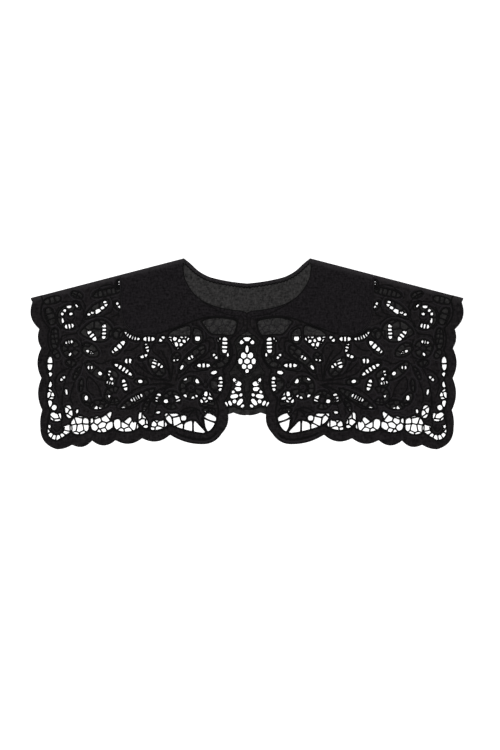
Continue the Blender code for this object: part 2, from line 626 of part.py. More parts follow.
def outlines():
    """The outline of each piece of the half, in the flat cloth."""
    front_neck = [unfold(point) for point in smooth(FRONT_NECK)]
    front_yoke = [unfold(point) for point in smooth(FRONT_YOKE)]
    front_edge = [unfold(point) for point in scalloped(FRONT_EDGE_START, FRONT_EDGE, 1)]
    front_band = [unfold(point) for point in scalloped(FRONT_YOKE[-1], FRONT_BAND, 1)]
    back_neck = smooth(BACK_NECK)
    back_yoke = smooth(BACK_YOKE)
    back_edge = scalloped(FRONT_EDGE[-1], BACK_EDGE, -1) + [Vector(BACK_EDGE_END)]
    back_band = scalloped(FRONT_BAND[-1], BACK_BAND, -1) + [Vector(BACK_BAND_END)]
    front_end = unfold(Vector(YOKE_FRONT_END))

    # The binding starts as a point at the shoulder and soon has its full width.
    binding_tip = back_neck[0].lerp(back_neck[1], 0.4)
    binding_edge = []
    for before, here, after in zip(back_neck, back_neck[1:], back_neck[2:]):
        wide = BINDING_WIDTH * min((here - back_neck[0]).length / BINDING_WIDTH, 1.0)
        binding_edge.append(here - across((after - before).normalized()) * wide)
    binding_edge.append(Vector((PAST_CENTRE, BACK_NECK[-1].y - BINDING_WIDTH)))

    return {
        "yoke": front_neck[::-1] + [back_neck[0], binding_tip] + binding_edge + back_yoke[::-1] + front_yoke + [front_end],
        "lace": front_yoke[::-1] + back_yoke + back_band[::-1] + front_band[::-1],
        "border": front_edge + back_edge[1:] + back_band[::-1] + front_band[::-1] + [front_end],
        "neck_binding": [binding_tip] + back_neck[1:] + binding_edge[::-1],
    }


def cloth(name, outline, gaps, thickness, colour):
    """One piece: its outline less its gaps, triangulated flat, folded, and given its thickness."""
    rim = inset(outline, LACE_RIM)
    half = [Vector(p) for p in ((0, -400), (0, 400), (-800, 400), (-800, -400))]
    polygons = [inset(outline, SEAM_GAP / 2), half, rim, *gaps]
    points, faces, edges = [], [], []
    for polygon in map(anticlockwise, polygons):
        faces.append(list(range(len(points), len(points) + len(polygon))))
        points += polygon
    for step in range(FOLD_STEPS + 1):
        beyond = FOLD_RADIUS * (math.pi * step / FOLD_STEPS - 1)
        edges.append((len(points), len(points) + 1))
        points += [NECK_POINT + OUTWARD * beyond + ALONG * run for run in (-30, 240)]
    drop = [unfold(point) for point in inset(BACK_SHAPE, -DROP_START)[2:]]
    edges += [(len(points) + step, len(points) + step + 1) for step in range(len(drop) - 1)]
    points += drop
    flat, _, triangles, _, _, owners = delaunay_2d_cdt(points, edges, faces, 1, 1e-4, True)

    mesh = bmesh.new()
    upper, lower = {}, {}

    def pair(index):
        if index not in upper:
            place, facing = folded(flat[index], thickness)
            upper[index] = mesh.verts.new((place + facing * thickness / 2) * MM)
            lower[index] = mesh.verts.new((place - facing * thickness / 2) * MM)
        return upper[index], lower[index]

    kept = [
        tuple(triangle)
        for triangle, owner in zip(triangles, owners)
        if 0 in owner and 1 in owner and not (2 in owner and max(owner) > 2)
    ]
    kept = largest_patch(kept)
    sides = {}
    for triangle in kept:
        corners = [pair(index) for index in triangle]
        mesh.faces.new([corner[0] for corner in corners])
        mesh.faces.new([corner[1] for corner in reversed(corners)])
        for a, b in zip(triangle, triangle[1:] + triangle[:1]):
            sides[a, b] = True
    for a, b in sides:
        at_centre = abs(flat[a].x) < 1e-3 and abs(flat[b].x) < 1e-3
        if (b, a) not in sides and not at_centre:
            mesh.faces.new((upper[b], upper[a], lower[a], lower[b]))

    data = bpy.data.meshes.new(name)
    mesh.to_mesh(data)
    mesh.free()
    material = bpy.data.materials.new(name + "_cloth")
    material.use_nodes = True
    shader = material.node_tree.nodes["Principled BSDF"]
    shader.inputs["Base Color"].default_value = (*colour, 1.0)
    shader.inputs["Roughness"].default_value = 0.85
    data.materials.append(material)
    piece = bpy.data.objects.new(name, data)
    collar.objects.link(piece)
    mirror = piece.modifiers.new("mirror", "MIRROR")
    mirror.merge_threshold = 0.00001


def largest_patch(triangles):
    """The triangles of the largest connected patch."""
    by_side = {}
    for number, triangle in enumerate(triangles):
        for a, b in zip(triangle, triangle[1:] + triangle[:1]):
            by_side.setdefault((min(a, b), max(a, b)), []).append(number)
    neighbours = {number: [] for number in range(len(triangles))}
    for pair in by_side.values():
        if len(pair) == 2:
            neighbours[pair[0]].append(pair[1])
            neighbours[pair[1]].append(pair[0])
    left, best = set(neighbours), []
    while left:
        patch, todo = [], [left.pop()]
        while todo:
            number = todo.pop()
            patch.append(number)
            for other in neighbours[number]:
                if other in left:
                    left.remove(other)
                    todo.append(other)
        best = max(best, patch, key=len)
    return [triangles[number] for number in sorted(best)]


collar = bpy.data.collections.new("cutwork_collar")
bpy.context.scene.collection.children.link(collar)
BACK_SHAPE = [Vector(point) for point in BACK_REACH]
OUTLINES = outlines()
GAPS = [gap for gap in all_gaps(NET_BAR) if abs(area(gap)) > SMALLEST_GAP][:GAPS_A_HALF]
cloth("yoke", OUTLINES["yoke"], [], YOKE_THICK, (0.012, 0.011, 0.012))
cloth("lace", OUTLINES["lace"], GAPS, LACE_THICK, (0.011, 0.010, 0.011))
cloth("border", OUTLINES["border"], [], BORDER_THICK, (0.012, 0.011, 0.012))
cloth("neck_binding", OUTLINES["neck_binding"], [], BINDING_THICK, (0.009, 0.008, 0.009))
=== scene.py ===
"""The looks of a detachable cutwork collar, laid flat with its two front panels on its back."""

import math
import random
from collections import namedtuple

import bpy
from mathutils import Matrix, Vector, noise
from mathutils.geometry import delaunay_2d_cdt


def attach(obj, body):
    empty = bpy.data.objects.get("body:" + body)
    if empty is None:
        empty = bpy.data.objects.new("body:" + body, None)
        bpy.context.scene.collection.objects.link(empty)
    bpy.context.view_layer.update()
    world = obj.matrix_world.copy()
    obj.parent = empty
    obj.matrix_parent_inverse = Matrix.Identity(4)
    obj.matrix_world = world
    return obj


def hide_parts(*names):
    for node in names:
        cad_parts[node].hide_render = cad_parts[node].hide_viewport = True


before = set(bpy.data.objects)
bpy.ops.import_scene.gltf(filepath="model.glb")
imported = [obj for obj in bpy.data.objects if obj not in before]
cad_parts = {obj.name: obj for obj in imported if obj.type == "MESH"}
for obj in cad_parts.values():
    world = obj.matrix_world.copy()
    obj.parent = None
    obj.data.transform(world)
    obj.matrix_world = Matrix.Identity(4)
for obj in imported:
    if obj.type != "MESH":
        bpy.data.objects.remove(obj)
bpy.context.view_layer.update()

# ------------------------------------------------------------
# The yoke: plain woven black cotton round the neck, cut in one for the back and both fronts,
# folded over the shoulders, its edges turned and finished with a stitched cord. Each half is
# worked out flat, in millimetres: the back below the shoulder line, the front unfolded above it.
MM = 0.001
CLOTH_THICK = 0.8
# How high the middle of the back's cloth lies, and the lowest that a cord may come.
LIE = 0.68
REST_HEIGHT = 0.05
SEAM_GAP = 0.3
RIM = 1.5
WAVE_GRID = 5.0
WAVE_ACROSS, WAVE_DOWN, WAVE_APART = 31, 24, 3.7
BACK_WAVE, MORE_IN_FRONT = 0.13, 0.16
SHARP_EDGE = math.radians(50)
ROOMY = 400
# The width, in mm, of the highlight painted along the fold of the shoulders.
FOLD_HIGHLIGHT_WIDTH = 9.0
# Cells of the slubs in a metre, along x, y and z: they are 1.1 mm wide and about 6 mm long.
SLUBS = ((150, 900, 200), (900, 180, 200))
# The stripes of a wave texture are 0.314 over its scale apart: here 1.2 mm along the cord.
STITCHES = 0.5 / 1.2 * 0.62

NECK_POINT = Vector((-81.0, 123.0))
SHOULDER_TIP = Vector((-281.0, 71.0))
FOLD_RADIUS = 1.0
FOLD_STEPS = 6
FOLD_RUN = (-30, 240)
LAYER_RISE = 2 * FOLD_RADIUS
ALONG = (SHOULDER_TIP - NECK_POINT).normalized()
OUTWARD = Vector((ALONG.y, -ALONG.x))
DROP_START = 5.0
DROP_LENGTH = 16.0
PAST_CENTRE = 6.0
CENTRING = 0.753
BINDING_WIDTH = 5.0
BINDING_START = 0.4
SHOULDER_END = 36

Point = namedtuple("Point", "x y")
# The main creases of the fronts as they lie, as seen from above: troughs, and ridges below 0.
Crease = namedtuple("Crease", "x y to_x to_y depth")
CREASES = [Crease(*row) for row in (
    (-159, 52.3, -140, 57.6, 0.9), (-110, 58, -76, 73.5, -0.6), (-97, 69.6, -76, 76.4, 0.9),
    (-128, 93, -104, 86, 0.45), (64, 66, 92, 74, -0.6), (108.5, 61, 121.5, 80, 0.6),
    (131, 41, 150, 58, -0.5),
)]
CREASE_WIDTH = 1.3
CREASE_STEP = 2.0
CREASE_ROWS = (-2.7, -1.8, -0.9, 0.0, 0.9, 1.8, 2.7)
FRONT_NECK = [Point(*row) for row in (
    (-82, 123), (-83.2, 109), (-80.5, 95), (-71, 79), (-57.5, 67.5), (-40, 60), (-21, 56),
    (-6, 54.2), (0, 51.4),
)]
BACK_NECK = [Point(*row) for row in (
    (-81, 122.5), (-74, 116.8), (-63.7, 107.3), (-53.3, 101), (-43, 97.3), (-22, 93), (0, 90.4),
    (PAST_CENTRE, 90.4),
)]
FRONT_YOKE = [Point(*row) for row in (
    (-164.5, 99), (-163.3, 72), (-162.4, 52), (-159.3, 41), (-153, 32), (-143, 26.4), (-131.5, 24),
    (-119, 24.6), (-102.5, 29.6), (-71, 41), (-58.8, 45.2), (-46, 47.2), (-33.5, 47.5),
    (-12.4, 44.2),
)]
BACK_YOKE = [Point(*row) for row in (
    (-164.5, 99), (-150, 72), (-137, 47), (-130, 35), (-120, 26), (-106, 22.7), (-80, 22.7),
    (0, 22.7), (PAST_CENTRE, 22.7),
)]
YOKE_FRONT_END = Point(0.0, 43.0)
BACK_REACH = [Point(*row) for row in (
    (PAST_CENTRE, 100), (-81, 123), (-281, 71), (-267, 30), (-255, -4), (-231, -32), (-231, -60),
    (-217, -79), (-17, -82.5), (PAST_CENTRE, -82.5),
)]


def across(vector):
    return Vector((-vector.y, vector.x))


def sides_of(polygon):
    return list(zip(polygon, (*polygon[1:], polygon[0])))


def beside(line, distance):
    """A line's points but its ends, moved to its left, or to its right for a distance below 0."""
    return [
        here + across((after - before).normalized()) * distance
        for before, here, after in zip(line, line[1:], line[2:])
    ]


def smooth(points, steps=5, closed=False):
    """A soft curve through the points."""
    points = [Vector((p[0], p[1])) for p in points]
    if closed:
        ends = [points[-1], *points, points[0], points[1]]
    else:
        ends = [2 * points[0] - points[1], *points, 2 * points[-1] - points[-2]]
    curve = [points[0]]
    for before, start, end, after in zip(ends, ends[1:], ends[2:], ends[3:]):
        for step in range(1, steps + 1):
            t = step / steps
            square = 2 * before - 5 * start + 4 * end - after
            cube = 3 * start - before - 3 * end + after
            curve.append(
                0.5 * (2 * start + (end - before) * t + square * t * t + cube * t * t * t)
            )
    return curve[:-1] if closed else curve


def unfold(point):
    """A point of the front as it lies, moved to its place in the flat cloth."""
    inside = -(point - NECK_POINT).dot(OUTWARD)
    return point + OUTWARD * (2 * inside + (math.pi - 2) * FOLD_RADIUS)


def unfolded(points):
    return [unfold(Vector(point)) for point in points]


def is_inside(point, polygon):
    inside = False
    for a, b in sides_of(polygon):
        if (a.y > point.y) != (b.y > point.y):
            if point.x < a.x + (point.y - a.y) * (b.x - a.x) / (b.y - a.y):
                inside = not inside
    return inside


def distance_to(point, a, b):
    """The distance from a point to the stretch from a to b."""
    side = b - a
    t = min(max((point - a).dot(side) / max(side.length_squared, 1e-9), 0.0), 1.0)
    return (point - a - side * t).length


def distance_outside(point, polygon):
    if is_inside(point, polygon):
        return 0.0
    return min(distance_to(point, a, b) for a, b in sides_of(polygon))


def area(polygon):
    return 0.5 * sum(a.x * b.y - b.x * a.y for a, b in sides_of(polygon))


def box_of(points):
    """The lower left and the upper right corner of the points' box."""
    low, high = [Vector([pick(p[axis] for p in points) for axis in (0, 1)]) for pick in (min, max)]
    return low, high


def anticlockwise(polygon):
    return polygon if area(polygon) > 0 else polygon[::-1]


def inset(polygon, distance):
    """The polygon with each point moved inwards, or outwards for a distance below 0."""
    inwards = math.copysign(1.0, area(polygon))
    moved = []
    for before, here, after in zip(polygon[-1:] + polygon[:-1], polygon, polygon[1:] + polygon[:1]):
        first = across((here - before).normalized())
        second = across((after - here).normalized())
        middle = (first + second).normalized()
        moved.append(here + middle * inwards * distance / max(middle.dot(first), 0.5))
    return moved


def settled(point, side):
    """Where a point of the flat cloth lies, and the way its wrong side faces there.

    The side is 1 for the half at x < 0 and -1 for its mirror image. Both lie in soft waves, each
    its own, and the front comes down to the surface beyond the back's edge.
    """
    beyond = (point - NECK_POINT).dot(OUTWARD)
    base = point - OUTWARD * beyond
    turn = min(max((beyond + FOLD_RADIUS) / FOLD_RADIUS, 0.0), math.pi)
    place = point
    if turn:
        flat = max(beyond + FOLD_RADIUS - math.pi * FOLD_RADIUS, 0.0)
        place = base + OUTWARD * (-FOLD_RADIUS + FOLD_RADIUS * math.sin(turn) - flat)
    front = turn / math.pi
    rise = FOLD_RADIUS * (1 - math.cos(turn))
    if front == 1.0:
        t = min(max((distance_outside(place, BACK_SHAPE) - DROP_START) / DROP_LENGTH, 0.0), 1.0)
        rise -= LAYER_RISE * t * t * (3 - 2 * t)
    x = place.x * side
    ripple = 1 + noise.noise(Vector((x / WAVE_ACROSS, place.y / WAVE_DOWN, WAVE_APART * front)))
    rise += (BACK_WAVE + MORE_IN_FRONT * front) * ripple
    if front == 1.0:
        here = Vector((x, place.y))
        for crease in CREASES:
            ends = Vector((crease.x, crease.y)), Vector((crease.to_x, crease.to_y))
            away = distance_to(here, *ends) / CREASE_WIDTH
            rise -= crease.depth * math.exp(-away * away)
    facing = -math.sin(turn) * OUTWARD
    return (
        Vector((x, place.y + CENTRING, LIE + rise)),
        Vector((facing.x * side, facing.y, math.cos(turn))),
    )


def made(name, points, faces, materials, slots=None, wrap=None):
    """A piece of the collar from its points, in millimetres, and faces, riding on the one body."""
    mesh = bpy.data.meshes.new(name)
    mesh.from_pydata([point * MM for point in points], [], faces)
    for material in materials:
        mesh.materials.append(material)
    if slots:
        mesh.polygons.foreach_set("material_index", slots)
    if wrap:
        uv = mesh.uv_layers.new(name="wrap")
        for loop in mesh.loops:
            uv.data[loop.index].uv = wrap[loop.vertex_index]
    mesh.polygons.foreach_set("use_smooth", [True] * len(mesh.polygons))
    mesh.set_sharp_from_angle(angle=SHARP_EDGE)
    mesh.update()
    piece = bpy.data.objects.new(name, mesh)
    bpy.context.scene.collection.objects.link(piece)
    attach(piece, "root")
    return piece


def cut_cloth(name, outline, openings, materials, thick=CLOTH_THICK):
    """Cloth cut flat to an outline less its openings, then folded and given its thickness.

    Returns the piece, the flat area of both its halves and the size of the flat cut, in metres.
    """
    half = [Vector((x, y)) * ROOMY for x, y in ((0, -1), (0, 1), (-2, 1), (-2, -1))]
    polygons = [inset(outline, SEAM_GAP / 2), half, inset(outline, RIM), *openings]
    points, rings, creases = [], [], []
    for polygon in map(anticlockwise, polygons):
        rings.append(list(range(len(points), len(points) + len(polygon))))
        points += polygon
    for step in range(FOLD_STEPS + 1):
        beyond = FOLD_RADIUS * (math.pi * step / FOLD_STEPS - 1)
        creases.append((len(points), len(points) + 1))
        points += [NECK_POINT + OUTWARD * beyond + ALONG * run for run in FOLD_RUN]
    low, high = box_of(outline)
    for row in range(int((high.y - low.y) / WAVE_GRID) + 1):
        for column in range(int((min(high.x, 0) - low.x) / WAVE_GRID) + 1):
            spot = low + Vector((column + 0.5 * (row % 2), row)) * WAVE_GRID
            if is_inside(spot, outline):
                points.append(spot)
    for crease in CREASES:
        ends = [Vector((-abs(crease.x), crease.y)), Vector((-abs(crease.to_x), crease.to_y))]
        aside = across((ends[1] - ends[0]).normalized())
        for step in evenly(ends, CREASE_STEP, False):
            for shift in CREASE_ROWS:
                spot = unfold(step + aside * shift)
                if is_inside(spot, outline):
                    points.append(spot)
    flat, _, triangles, _, _, owners = delaunay_2d_cdt(points, creases, rings, 1, 1e-4, True)
    kept = [
        tuple(triangle)
        for triangle, owner in zip(triangles, owners)
        if 0 in owner and 1 in owner and not (2 in owner and max(owner) > 2)
    ]

    placed, faces, slots, number = [], [], [], {}
    for side in (1, -1):

        def pair(index):
            key = (index, 0 if abs(flat[index].x) < 1e-3 else side)
            if key not in number:
                number[key] = len(placed)
                place, facing = settled(flat[index], side)
                placed.extend((place + facing * thick / 2, place - facing * thick / 2))
            return number[key], number[key] + 1

        open_sides = {}
        for triangle in kept:
            turned = triangle if side == 1 else triangle[::-1]
            corners = [pair(index) for index in turned]
            faces.append(tuple(corner[0] for corner in corners))
            faces.append(tuple(corner[1] for corner in reversed(corners)))
            slots += [1, 0]
            for a, b in sides_of(turned):
                open_sides[a, b] = True
        for a, b in open_sides:
            at_centre = abs(flat[a].x) < 1e-3 and abs(flat[b].x) < 1e-3
            if (b, a) not in open_sides and not at_centre:
                (upper_a, lower_a), (upper_b, lower_b) = pair(a), pair(b)
                faces.append((upper_b, upper_a, lower_a, lower_b))
                slots.append(0)
    piece = made(name, placed, faces, materials, slots)
    low, high = box_of([flat[index] for triangle in kept for index in triangle])
    flat_area = 2 * sum(area([flat[index] for index in triangle]) for triangle in kept)
    return piece, flat_area * MM * MM, (-2 * low.x * MM, (high.y - low.y) * MM)


def evenly(points, spacing, closed):
    """The line with its points a given distance apart."""
    line = list(points) + ([points[0]] if closed else [])
    lengths = [0.0]
    for a, b in zip(line, line[1:]):
        lengths.append(lengths[-1] + (b - a).length)
    count = max(int(round(lengths[-1] / spacing)), 4 if closed else 1)
    spread, number = [], 0
    for step in range(count if closed else count + 1):
        run = lengths[-1] * step / count
        while number < len(line) - 2 and lengths[number + 1] < run:
            number += 1
        part = (run - lengths[number]) / max(lengths[number + 1] - lengths[number], 1e-9)
        spread.append(line[number].lerp(line[number + 1], min(part, 1.0)))
    return spread


Cord = namedtuple("Cord", "points radius proud flare closed", defaults=(0.0, False))
WRONG_SIDE_PROUD = 0.3


def corded(name, cords, material, spacing=1.8, sides=6):
    """Cords or bars along lines of the flat cloth, on both halves, in one piece.

    A cord stands proud of the cloth's middle on the side that shows: the right side of the
    fronts, and less on the back's wrong side. It is thicker towards its ends by its flare.
    """
    placed, faces, wrap = [], [], []
    for cord in cords:
        if len(cord.points) < 2:
            continue
        line = evenly(cord.points, spacing, cord.closed)
        for side in (1, -1):
            spots = [settled(point, side) for point in line]
            first, run = len(placed), 0.0
            for number, (place, facing) in enumerate(spots):
                last = number == len(spots) - 1
                before = spots[number - 1 if number or cord.closed else 0][0]
                after = spots[(0 if cord.closed else number) if last else number + 1][0]
                ahead = (after - before).normalized()
                sideways = ahead.cross(facing).normalized()
                showing = facing if facing.z > 0 else -facing
                proud = cord.proud if facing.z < 0 else WRONG_SIDE_PROUD * cord.proud
                middle = place + showing * proud
                t = abs(2 * number / (len(spots) - 1) - 1)
                radius = cord.radius * (1 + cord.flare * t**4)
                run += (place - spots[number - 1][0]).length if number else 0.0
                for spoke in range(sides):
                    turn = 2 * math.pi * spoke / sides
                    spoke_way = sideways * math.cos(turn) + facing * math.sin(turn)
                    rim = middle + spoke_way * radius
                    placed.append(Vector((rim.x, rim.y, max(rim.z, REST_HEIGHT))))
                    wrap.append((run, spoke / sides))
            rings = len(spots)
            for ring in range(rings if cord.closed else rings - 1):
                here, there = first + ring * sides, first + (ring + 1) % rings * sides
                for spoke in range(sides):
                    after = (spoke + 1) % sides
                    faces.append((here + spoke, here + after, there + after, there + spoke))
            if not cord.closed:
                last = first + (rings - 1) * sides
                faces.append(tuple(range(first + sides - 1, first - 1, -1)))
                faces.append(tuple(range(last, last + sides)))
    return made(name, placed, faces, [material], wrap=wrap)


def colour(code):
    """A linear colour from its sRGB hex code."""
    parts = [int(code[start : start + 2], 16) / 255 for start in (1, 3, 5)]
    return (*[((c + 0.055) / 1.055) ** 2.4 if c > 0.04045 else c / 12.92 for c in parts], 1.0)


def add_node(material, kind, sockets=None, **properties):
    """Adds a shader node, its sockets set to a value or linked to the output of another node."""
    node = material.node_tree.nodes.new("ShaderNode" + kind)
    for name, value in properties.items():
        setattr(node, name, value)
    for name, value in (sockets or {}).items():
        if isinstance(value, bpy.types.NodeSocket):
            material.node_tree.links.new(value, node.inputs[name])
        else:
            node.inputs[name].default_value = value
    return node


def bare_material(name):
    material = bpy.data.materials.new(name)
    material.use_nodes = True
    material.node_tree.nodes.clear()
    return material


def dyed(material, dark, light, tone):
    """The colour of a dye between its dark and its light tone."""
    ends = {"A": colour(dark), "B": colour(light), "Factor": tone}
    return add_node(material, "Mix", ends, data_type="RGBA").outputs["Result"]


def surfaced(material, roughness, tint, height, strength, depth):
    """Ends a material of cloth or thread with its colour, its relief and hardly any gloss."""
    relief = {"Strength": strength, "Distance": depth * MM, "Height": height}
    relief = add_node(material, "Bump", relief).outputs["Normal"]
    dull = {"Roughness": roughness, "Specular IOR Level": 0.03, "IOR": 1.5}
    surface = add_node(material, "BsdfPrincipled", {**dull, "Base Color": tint, "Normal": relief})
    add_node(material, "OutputMaterial", {"Surface": surface.outputs["BSDF"]})
    return material


def woven_cotton(name, dark, light, blotch, roughness):
    """Plain woven cotton lawn, dyed and ironed: dull, with faint slubs and no gloss.

    Its threads are 0.25 mm apart, too fine to show, so only the slubs along both are drawn.
    Pressing and wear leave blotches, in mm. A highlight is painted along the fold of the shoulders:
    a lighter tone is added in a band there.
    """
    cotton = bare_material(name)
    where = add_node(cotton, "TexCoord").outputs["Object"]
    threads = {}
    for number, scale in enumerate(SLUBS):
        stretched = add_node(cotton, "Mapping", {"Scale": scale, "Vector": where}).outputs["Vector"]
        slubs = {"Scale": 1.0, "Detail": 3.0, "Roughness": 0.65, "Vector": stretched}
        threads[number] = add_node(cotton, "TexNoise", slubs).outputs["Fac"]
    weave = add_node(cotton, "Math", threads, operation="ADD").outputs[0]
    worn = {"Scale": 1 / (blotch * MM), "Detail": 4.0, "Roughness": 0.7, "Vector": where}
    worn = add_node(cotton, "TexNoise", worn).outputs["Fac"]
    both = add_node(cotton, "Math", {0: weave, 1: 0.5, 2: worn}, operation="MULTIPLY_ADD")
    tone = {"From Min": 0.78, "From Max": 1.22, "Value": both.outputs[0]}
    dye = dyed(cotton, dark, light, add_node(cotton, "MapRange", tone).outputs["Result"])

    parts = add_node(cotton, "SeparateXYZ", {"Vector": where}).outputs
    sideways = add_node(cotton, "Math", {0: parts["X"]}, operation="ABSOLUTE").outputs[0]
    one_half = add_node(cotton, "CombineXYZ", {"X": sideways, "Y": parts["Y"]}).outputs["Vector"]
    up_to_fold = add_node(
        cotton,
        "VectorMath",
        {0: one_half, 1: (-OUTWARD.x, OUTWARD.y, 0.0)},
        operation="DOT_PRODUCT",
    ).outputs["Value"]
    # Painted highlight: a lighter tone is added in a band just inside the fold of the shoulders.
    fold_line = (NECK_POINT + Vector((0, CENTRING))).dot(OUTWARD) * MM
    painted_fold_highlight = {"From Min": fold_line - FOLD_HIGHLIGHT_WIDTH * MM, "From Max": fold_line}
    painted_fold_highlight = add_node(
        cotton, "MapRange", {**painted_fold_highlight, "Value": up_to_fold}, interpolation_type="SMOOTHERSTEP"
    ).outputs["Result"]
    dye_and_painted_fold_highlight = {"A": dye, "B": colour("#181718"), "Factor": painted_fold_highlight}
    dye_and_painted_fold_highlight = add_node(cotton, "Mix", dye_and_painted_fold_highlight, data_type="RGBA", blend_type="ADD").outputs["Result"]
    return surfaced(cotton, roughness, dye_and_painted_fold_highlight, weave, 0.35, 0.3)


def wrapped_thread(name, dark, light, roughness):
    """Black mercerised cotton, satin stitched over a core: smoother than the cloth, and darker,
    except where it is drawn lighter as a painted highlight.

    The stitches lie side by side 0.3 mm apart across the cord, too fine to show, so they are
    drawn 1.2 mm apart. Mercerising leaves a slight gloss.
    """
    thread = bare_material(name)
    along = add_node(thread, "TexCoord").outputs["UV"]
    stitches = {"Scale": STITCHES, "Distortion": 1.2, "Detail": 2.0, "Vector": along}
    stitches = add_node(thread, "TexWave", stitches, bands_direction="X").outputs["Fac"]
    return surfaced(thread, roughness, dyed(thread, dark, light, stitches), stitches, 0.4, 0.2)


BACK_SHAPE = [Vector(point) for point in BACK_REACH]
RIGHT_SIDE = woven_cotton("black_cotton_lawn", "#050405", "#1a181a", 3, 0.85)
WRONG_SIDE = woven_cotton("black_cotton_lawn_wrong_side", "#0e0e0e", "#302f2f", 3, 0.9)
CORD = wrapped_thread("black_satin_stitched_cord", "#030303", "#090809", 0.6)
# The same thread in a lighter tone: a painted highlight, for cords drawn as if they catch the
# light.
HIGHLIGHT_THREAD = wrapped_thread("black_satin_stitch_painted_highlight", "#100e10", "#211f22", 0.5)

front_neck = unfolded(smooth(FRONT_NECK))
front_yoke = unfolded(smooth(FRONT_YOKE))
back_neck = smooth(BACK_NECK)
back_yoke = smooth(BACK_YOKE)
front_end = unfold(Vector(YOKE_FRONT_END))
binding_tip = back_neck[0].lerp(back_neck[1], BINDING_START)
binding_edge = []
for before, here, after in zip(back_neck, back_neck[1:], back_neck[2:]):
    width = BINDING_WIDTH * min((here - back_neck[0]).length / BINDING_WIDTH, 1.0)
    binding_edge.append(here - across((after - before).normalized()) * width)
binding_edge.append(Vector((PAST_CENTRE, BACK_NECK[-1].y - BINDING_WIDTH)))

yoke_outline = front_neck[::-1] + [back_neck[0], binding_tip] + binding_edge
yoke_outline += back_yoke[::-1] + front_yoke + [front_end]
yoke, yoke_area, yoke_cut = cut_cloth("yoke_cloth", yoke_outline, [], [RIGHT_SIDE, WRONG_SIDE])
yoke_cords = corded(
    "yoke_cords",
    [
        Cord(front_yoke, radius=0.95, proud=0.4),
        Cord(back_yoke, radius=0.55, proud=0.4),
        Cord(front_neck[2:], radius=0.6, proud=0.3),
    ],
    CORD,
)
# A cord in a lighter tone, a painted highlight, tops the cord where the yoke ends at the cutwork of
# the shoulder.
shoulder_joint = front_yoke[:SHOULDER_END]
yoke_rim = corded("yoke_rim", [Cord(shoulder_joint, radius=0.45, proud=1.15)], HIGHLIGHT_THREAD)
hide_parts("yoke")

# ------------------------------------------------------------
# The cutwork: the same cotton with flowers, leaves and scrolls outlined in satin stitched cord.
# The cloth between the cords is cut away in windows, and thread-wrapped bars cross each window.
# It joins the yoke's lower edge, and on the fronts its windows lie over those of the back.
Scallop = namedtuple("Scallop", "x y bulge")
FRONT_BAND = [Scallop(*row) for row in (
    (-22.8, 16.3, 3.2), (-31.7, -21.5, 8), (-40.6, -60.2, 6.8), (-38.6, -86, 2.3),
    (-57.5, -105, 5), (-100.2, -94, 1.5), (-137.8, -96.4, 6), (-174, -99, 5.6), (-204, -99, 5.2),
    (-229.5, -103.5, 5.4), (-247, -114.5, 0.5), (-260, -97, 5.5), (-256, -75.5, 0),
    (-256, -34, 4.6), (-255.5, 4, 5), (-256, 32.5, 3), (-265, 67, 6.5), (-267, 74.4, 0),
)]
BACK_BAND = [Scallop(*row) for row in (
    (-263, 64, 0), (-251, 30, 3), (-241, 0, 3), (-216, -28, 3), (-215, -58, 2.4), (-208, -65, 2),
    (-196, -60, 2), (-160, -60.5, 4), (-124, -61.5, 4), (-88, -63.5, 4), (-52.5, -66, 4),
    (-17, -69.6, 3.8), (0, -73, 1.4),
)]
BACK_BAND_END = Point(PAST_CENTRE, -73.0)
Window = namedtuple(
    "Window", "x y length width angle cells ends bend rows", defaults=(0, 1, 0.8, 0, 1)
)
FRONT_WINDOWS = [Window(*row) for row in (
    (-182, 79, 36, 8, 13, 6, 0.7), (-167.5, 89.5, 12, 5, 82, 3), (-168.5, 62, 12, 6, -62, 2, 0.9),
    (-253, 69, 22, 8, 15, 3), (-256, 48, 22, 11, -72, 3), (-250, 19, 26, 9, 90, 4),
    (-248, -1, 12, 7, -58, 2, 0.9), (-221, 76, 15, 7, -22, 2, 0.9),
    (-221, 61.5, 12, 5, -44, 2, 0.9), (-228.8, 51, 6, 5, 25), (-127.5, 18.2, 17, 7, 0, 3),
    (-130.5, 6.5, 12, 6, -78, 3), (-134.5, -5, 13, 6, 25, 3, 0.9), (-110.8, 18.5, 11, 5.5, 50, 2),
    (-154.2, -10.3, 10, 8, 2, 2), (-161, -22.5, 33, 9, -36, 3, 1, 2),
    (-137.5, -37, 17, 7, -5, 3, 0.9), (-158.8, -41.6, 18, 7, -75, 3, 0.9),
    (-142, -59, 50, 9, 29, 7, 1.2), (-131, -67, 17, 5, 66, 3, 1),
    (-115.5, -77, 6, 3.6, 10, 1, 0.9), (-195, -23, 35, 10, -38, 5, 0.9, -2),
    (-229, -13, 13, 7, -12, 2, 0.9), (-221, -26, 17, 4.5, 62, 3, 1),
    (-239.5, -33, 9, 4, 42, 2, 0.9), (-234.6, -50.4, 8, 3.2, -80, 1, 0.9),
    (-215.5, -42, 16, 4.5, 84, 2, 1), (-209, -60, 17, 9, -60, 2, 0.9, 0, 2),
    (-192, -67, 24, 11, 8, 3, 0.9, 0, 2), (-231.5, -76, 17, 9, -78, 2, 0.8, 0, 2),
    (-220.7, -75.5, 6, 3.4, 80, 1, 0.9), (-256, -13.5, 18, 6.5, 88, 2, 0.9),
    (-256, -27.7, 6, 5, 50), (-256.4, -40.5, 8, 5.5, 95, 1, 0.9), (-256.8, -65.8, 9, 6.3, 72),
    (-250.6, -70.8, 7, 6.5, 60), (-82.5, -84.3, 7.4, 7, 0, 1, 0.7), (-41.6, -4.2, 9, 4.6, -50, 2),
    (-43, -25.5, 9, 5.4, 14, 1, 0.9),
)]
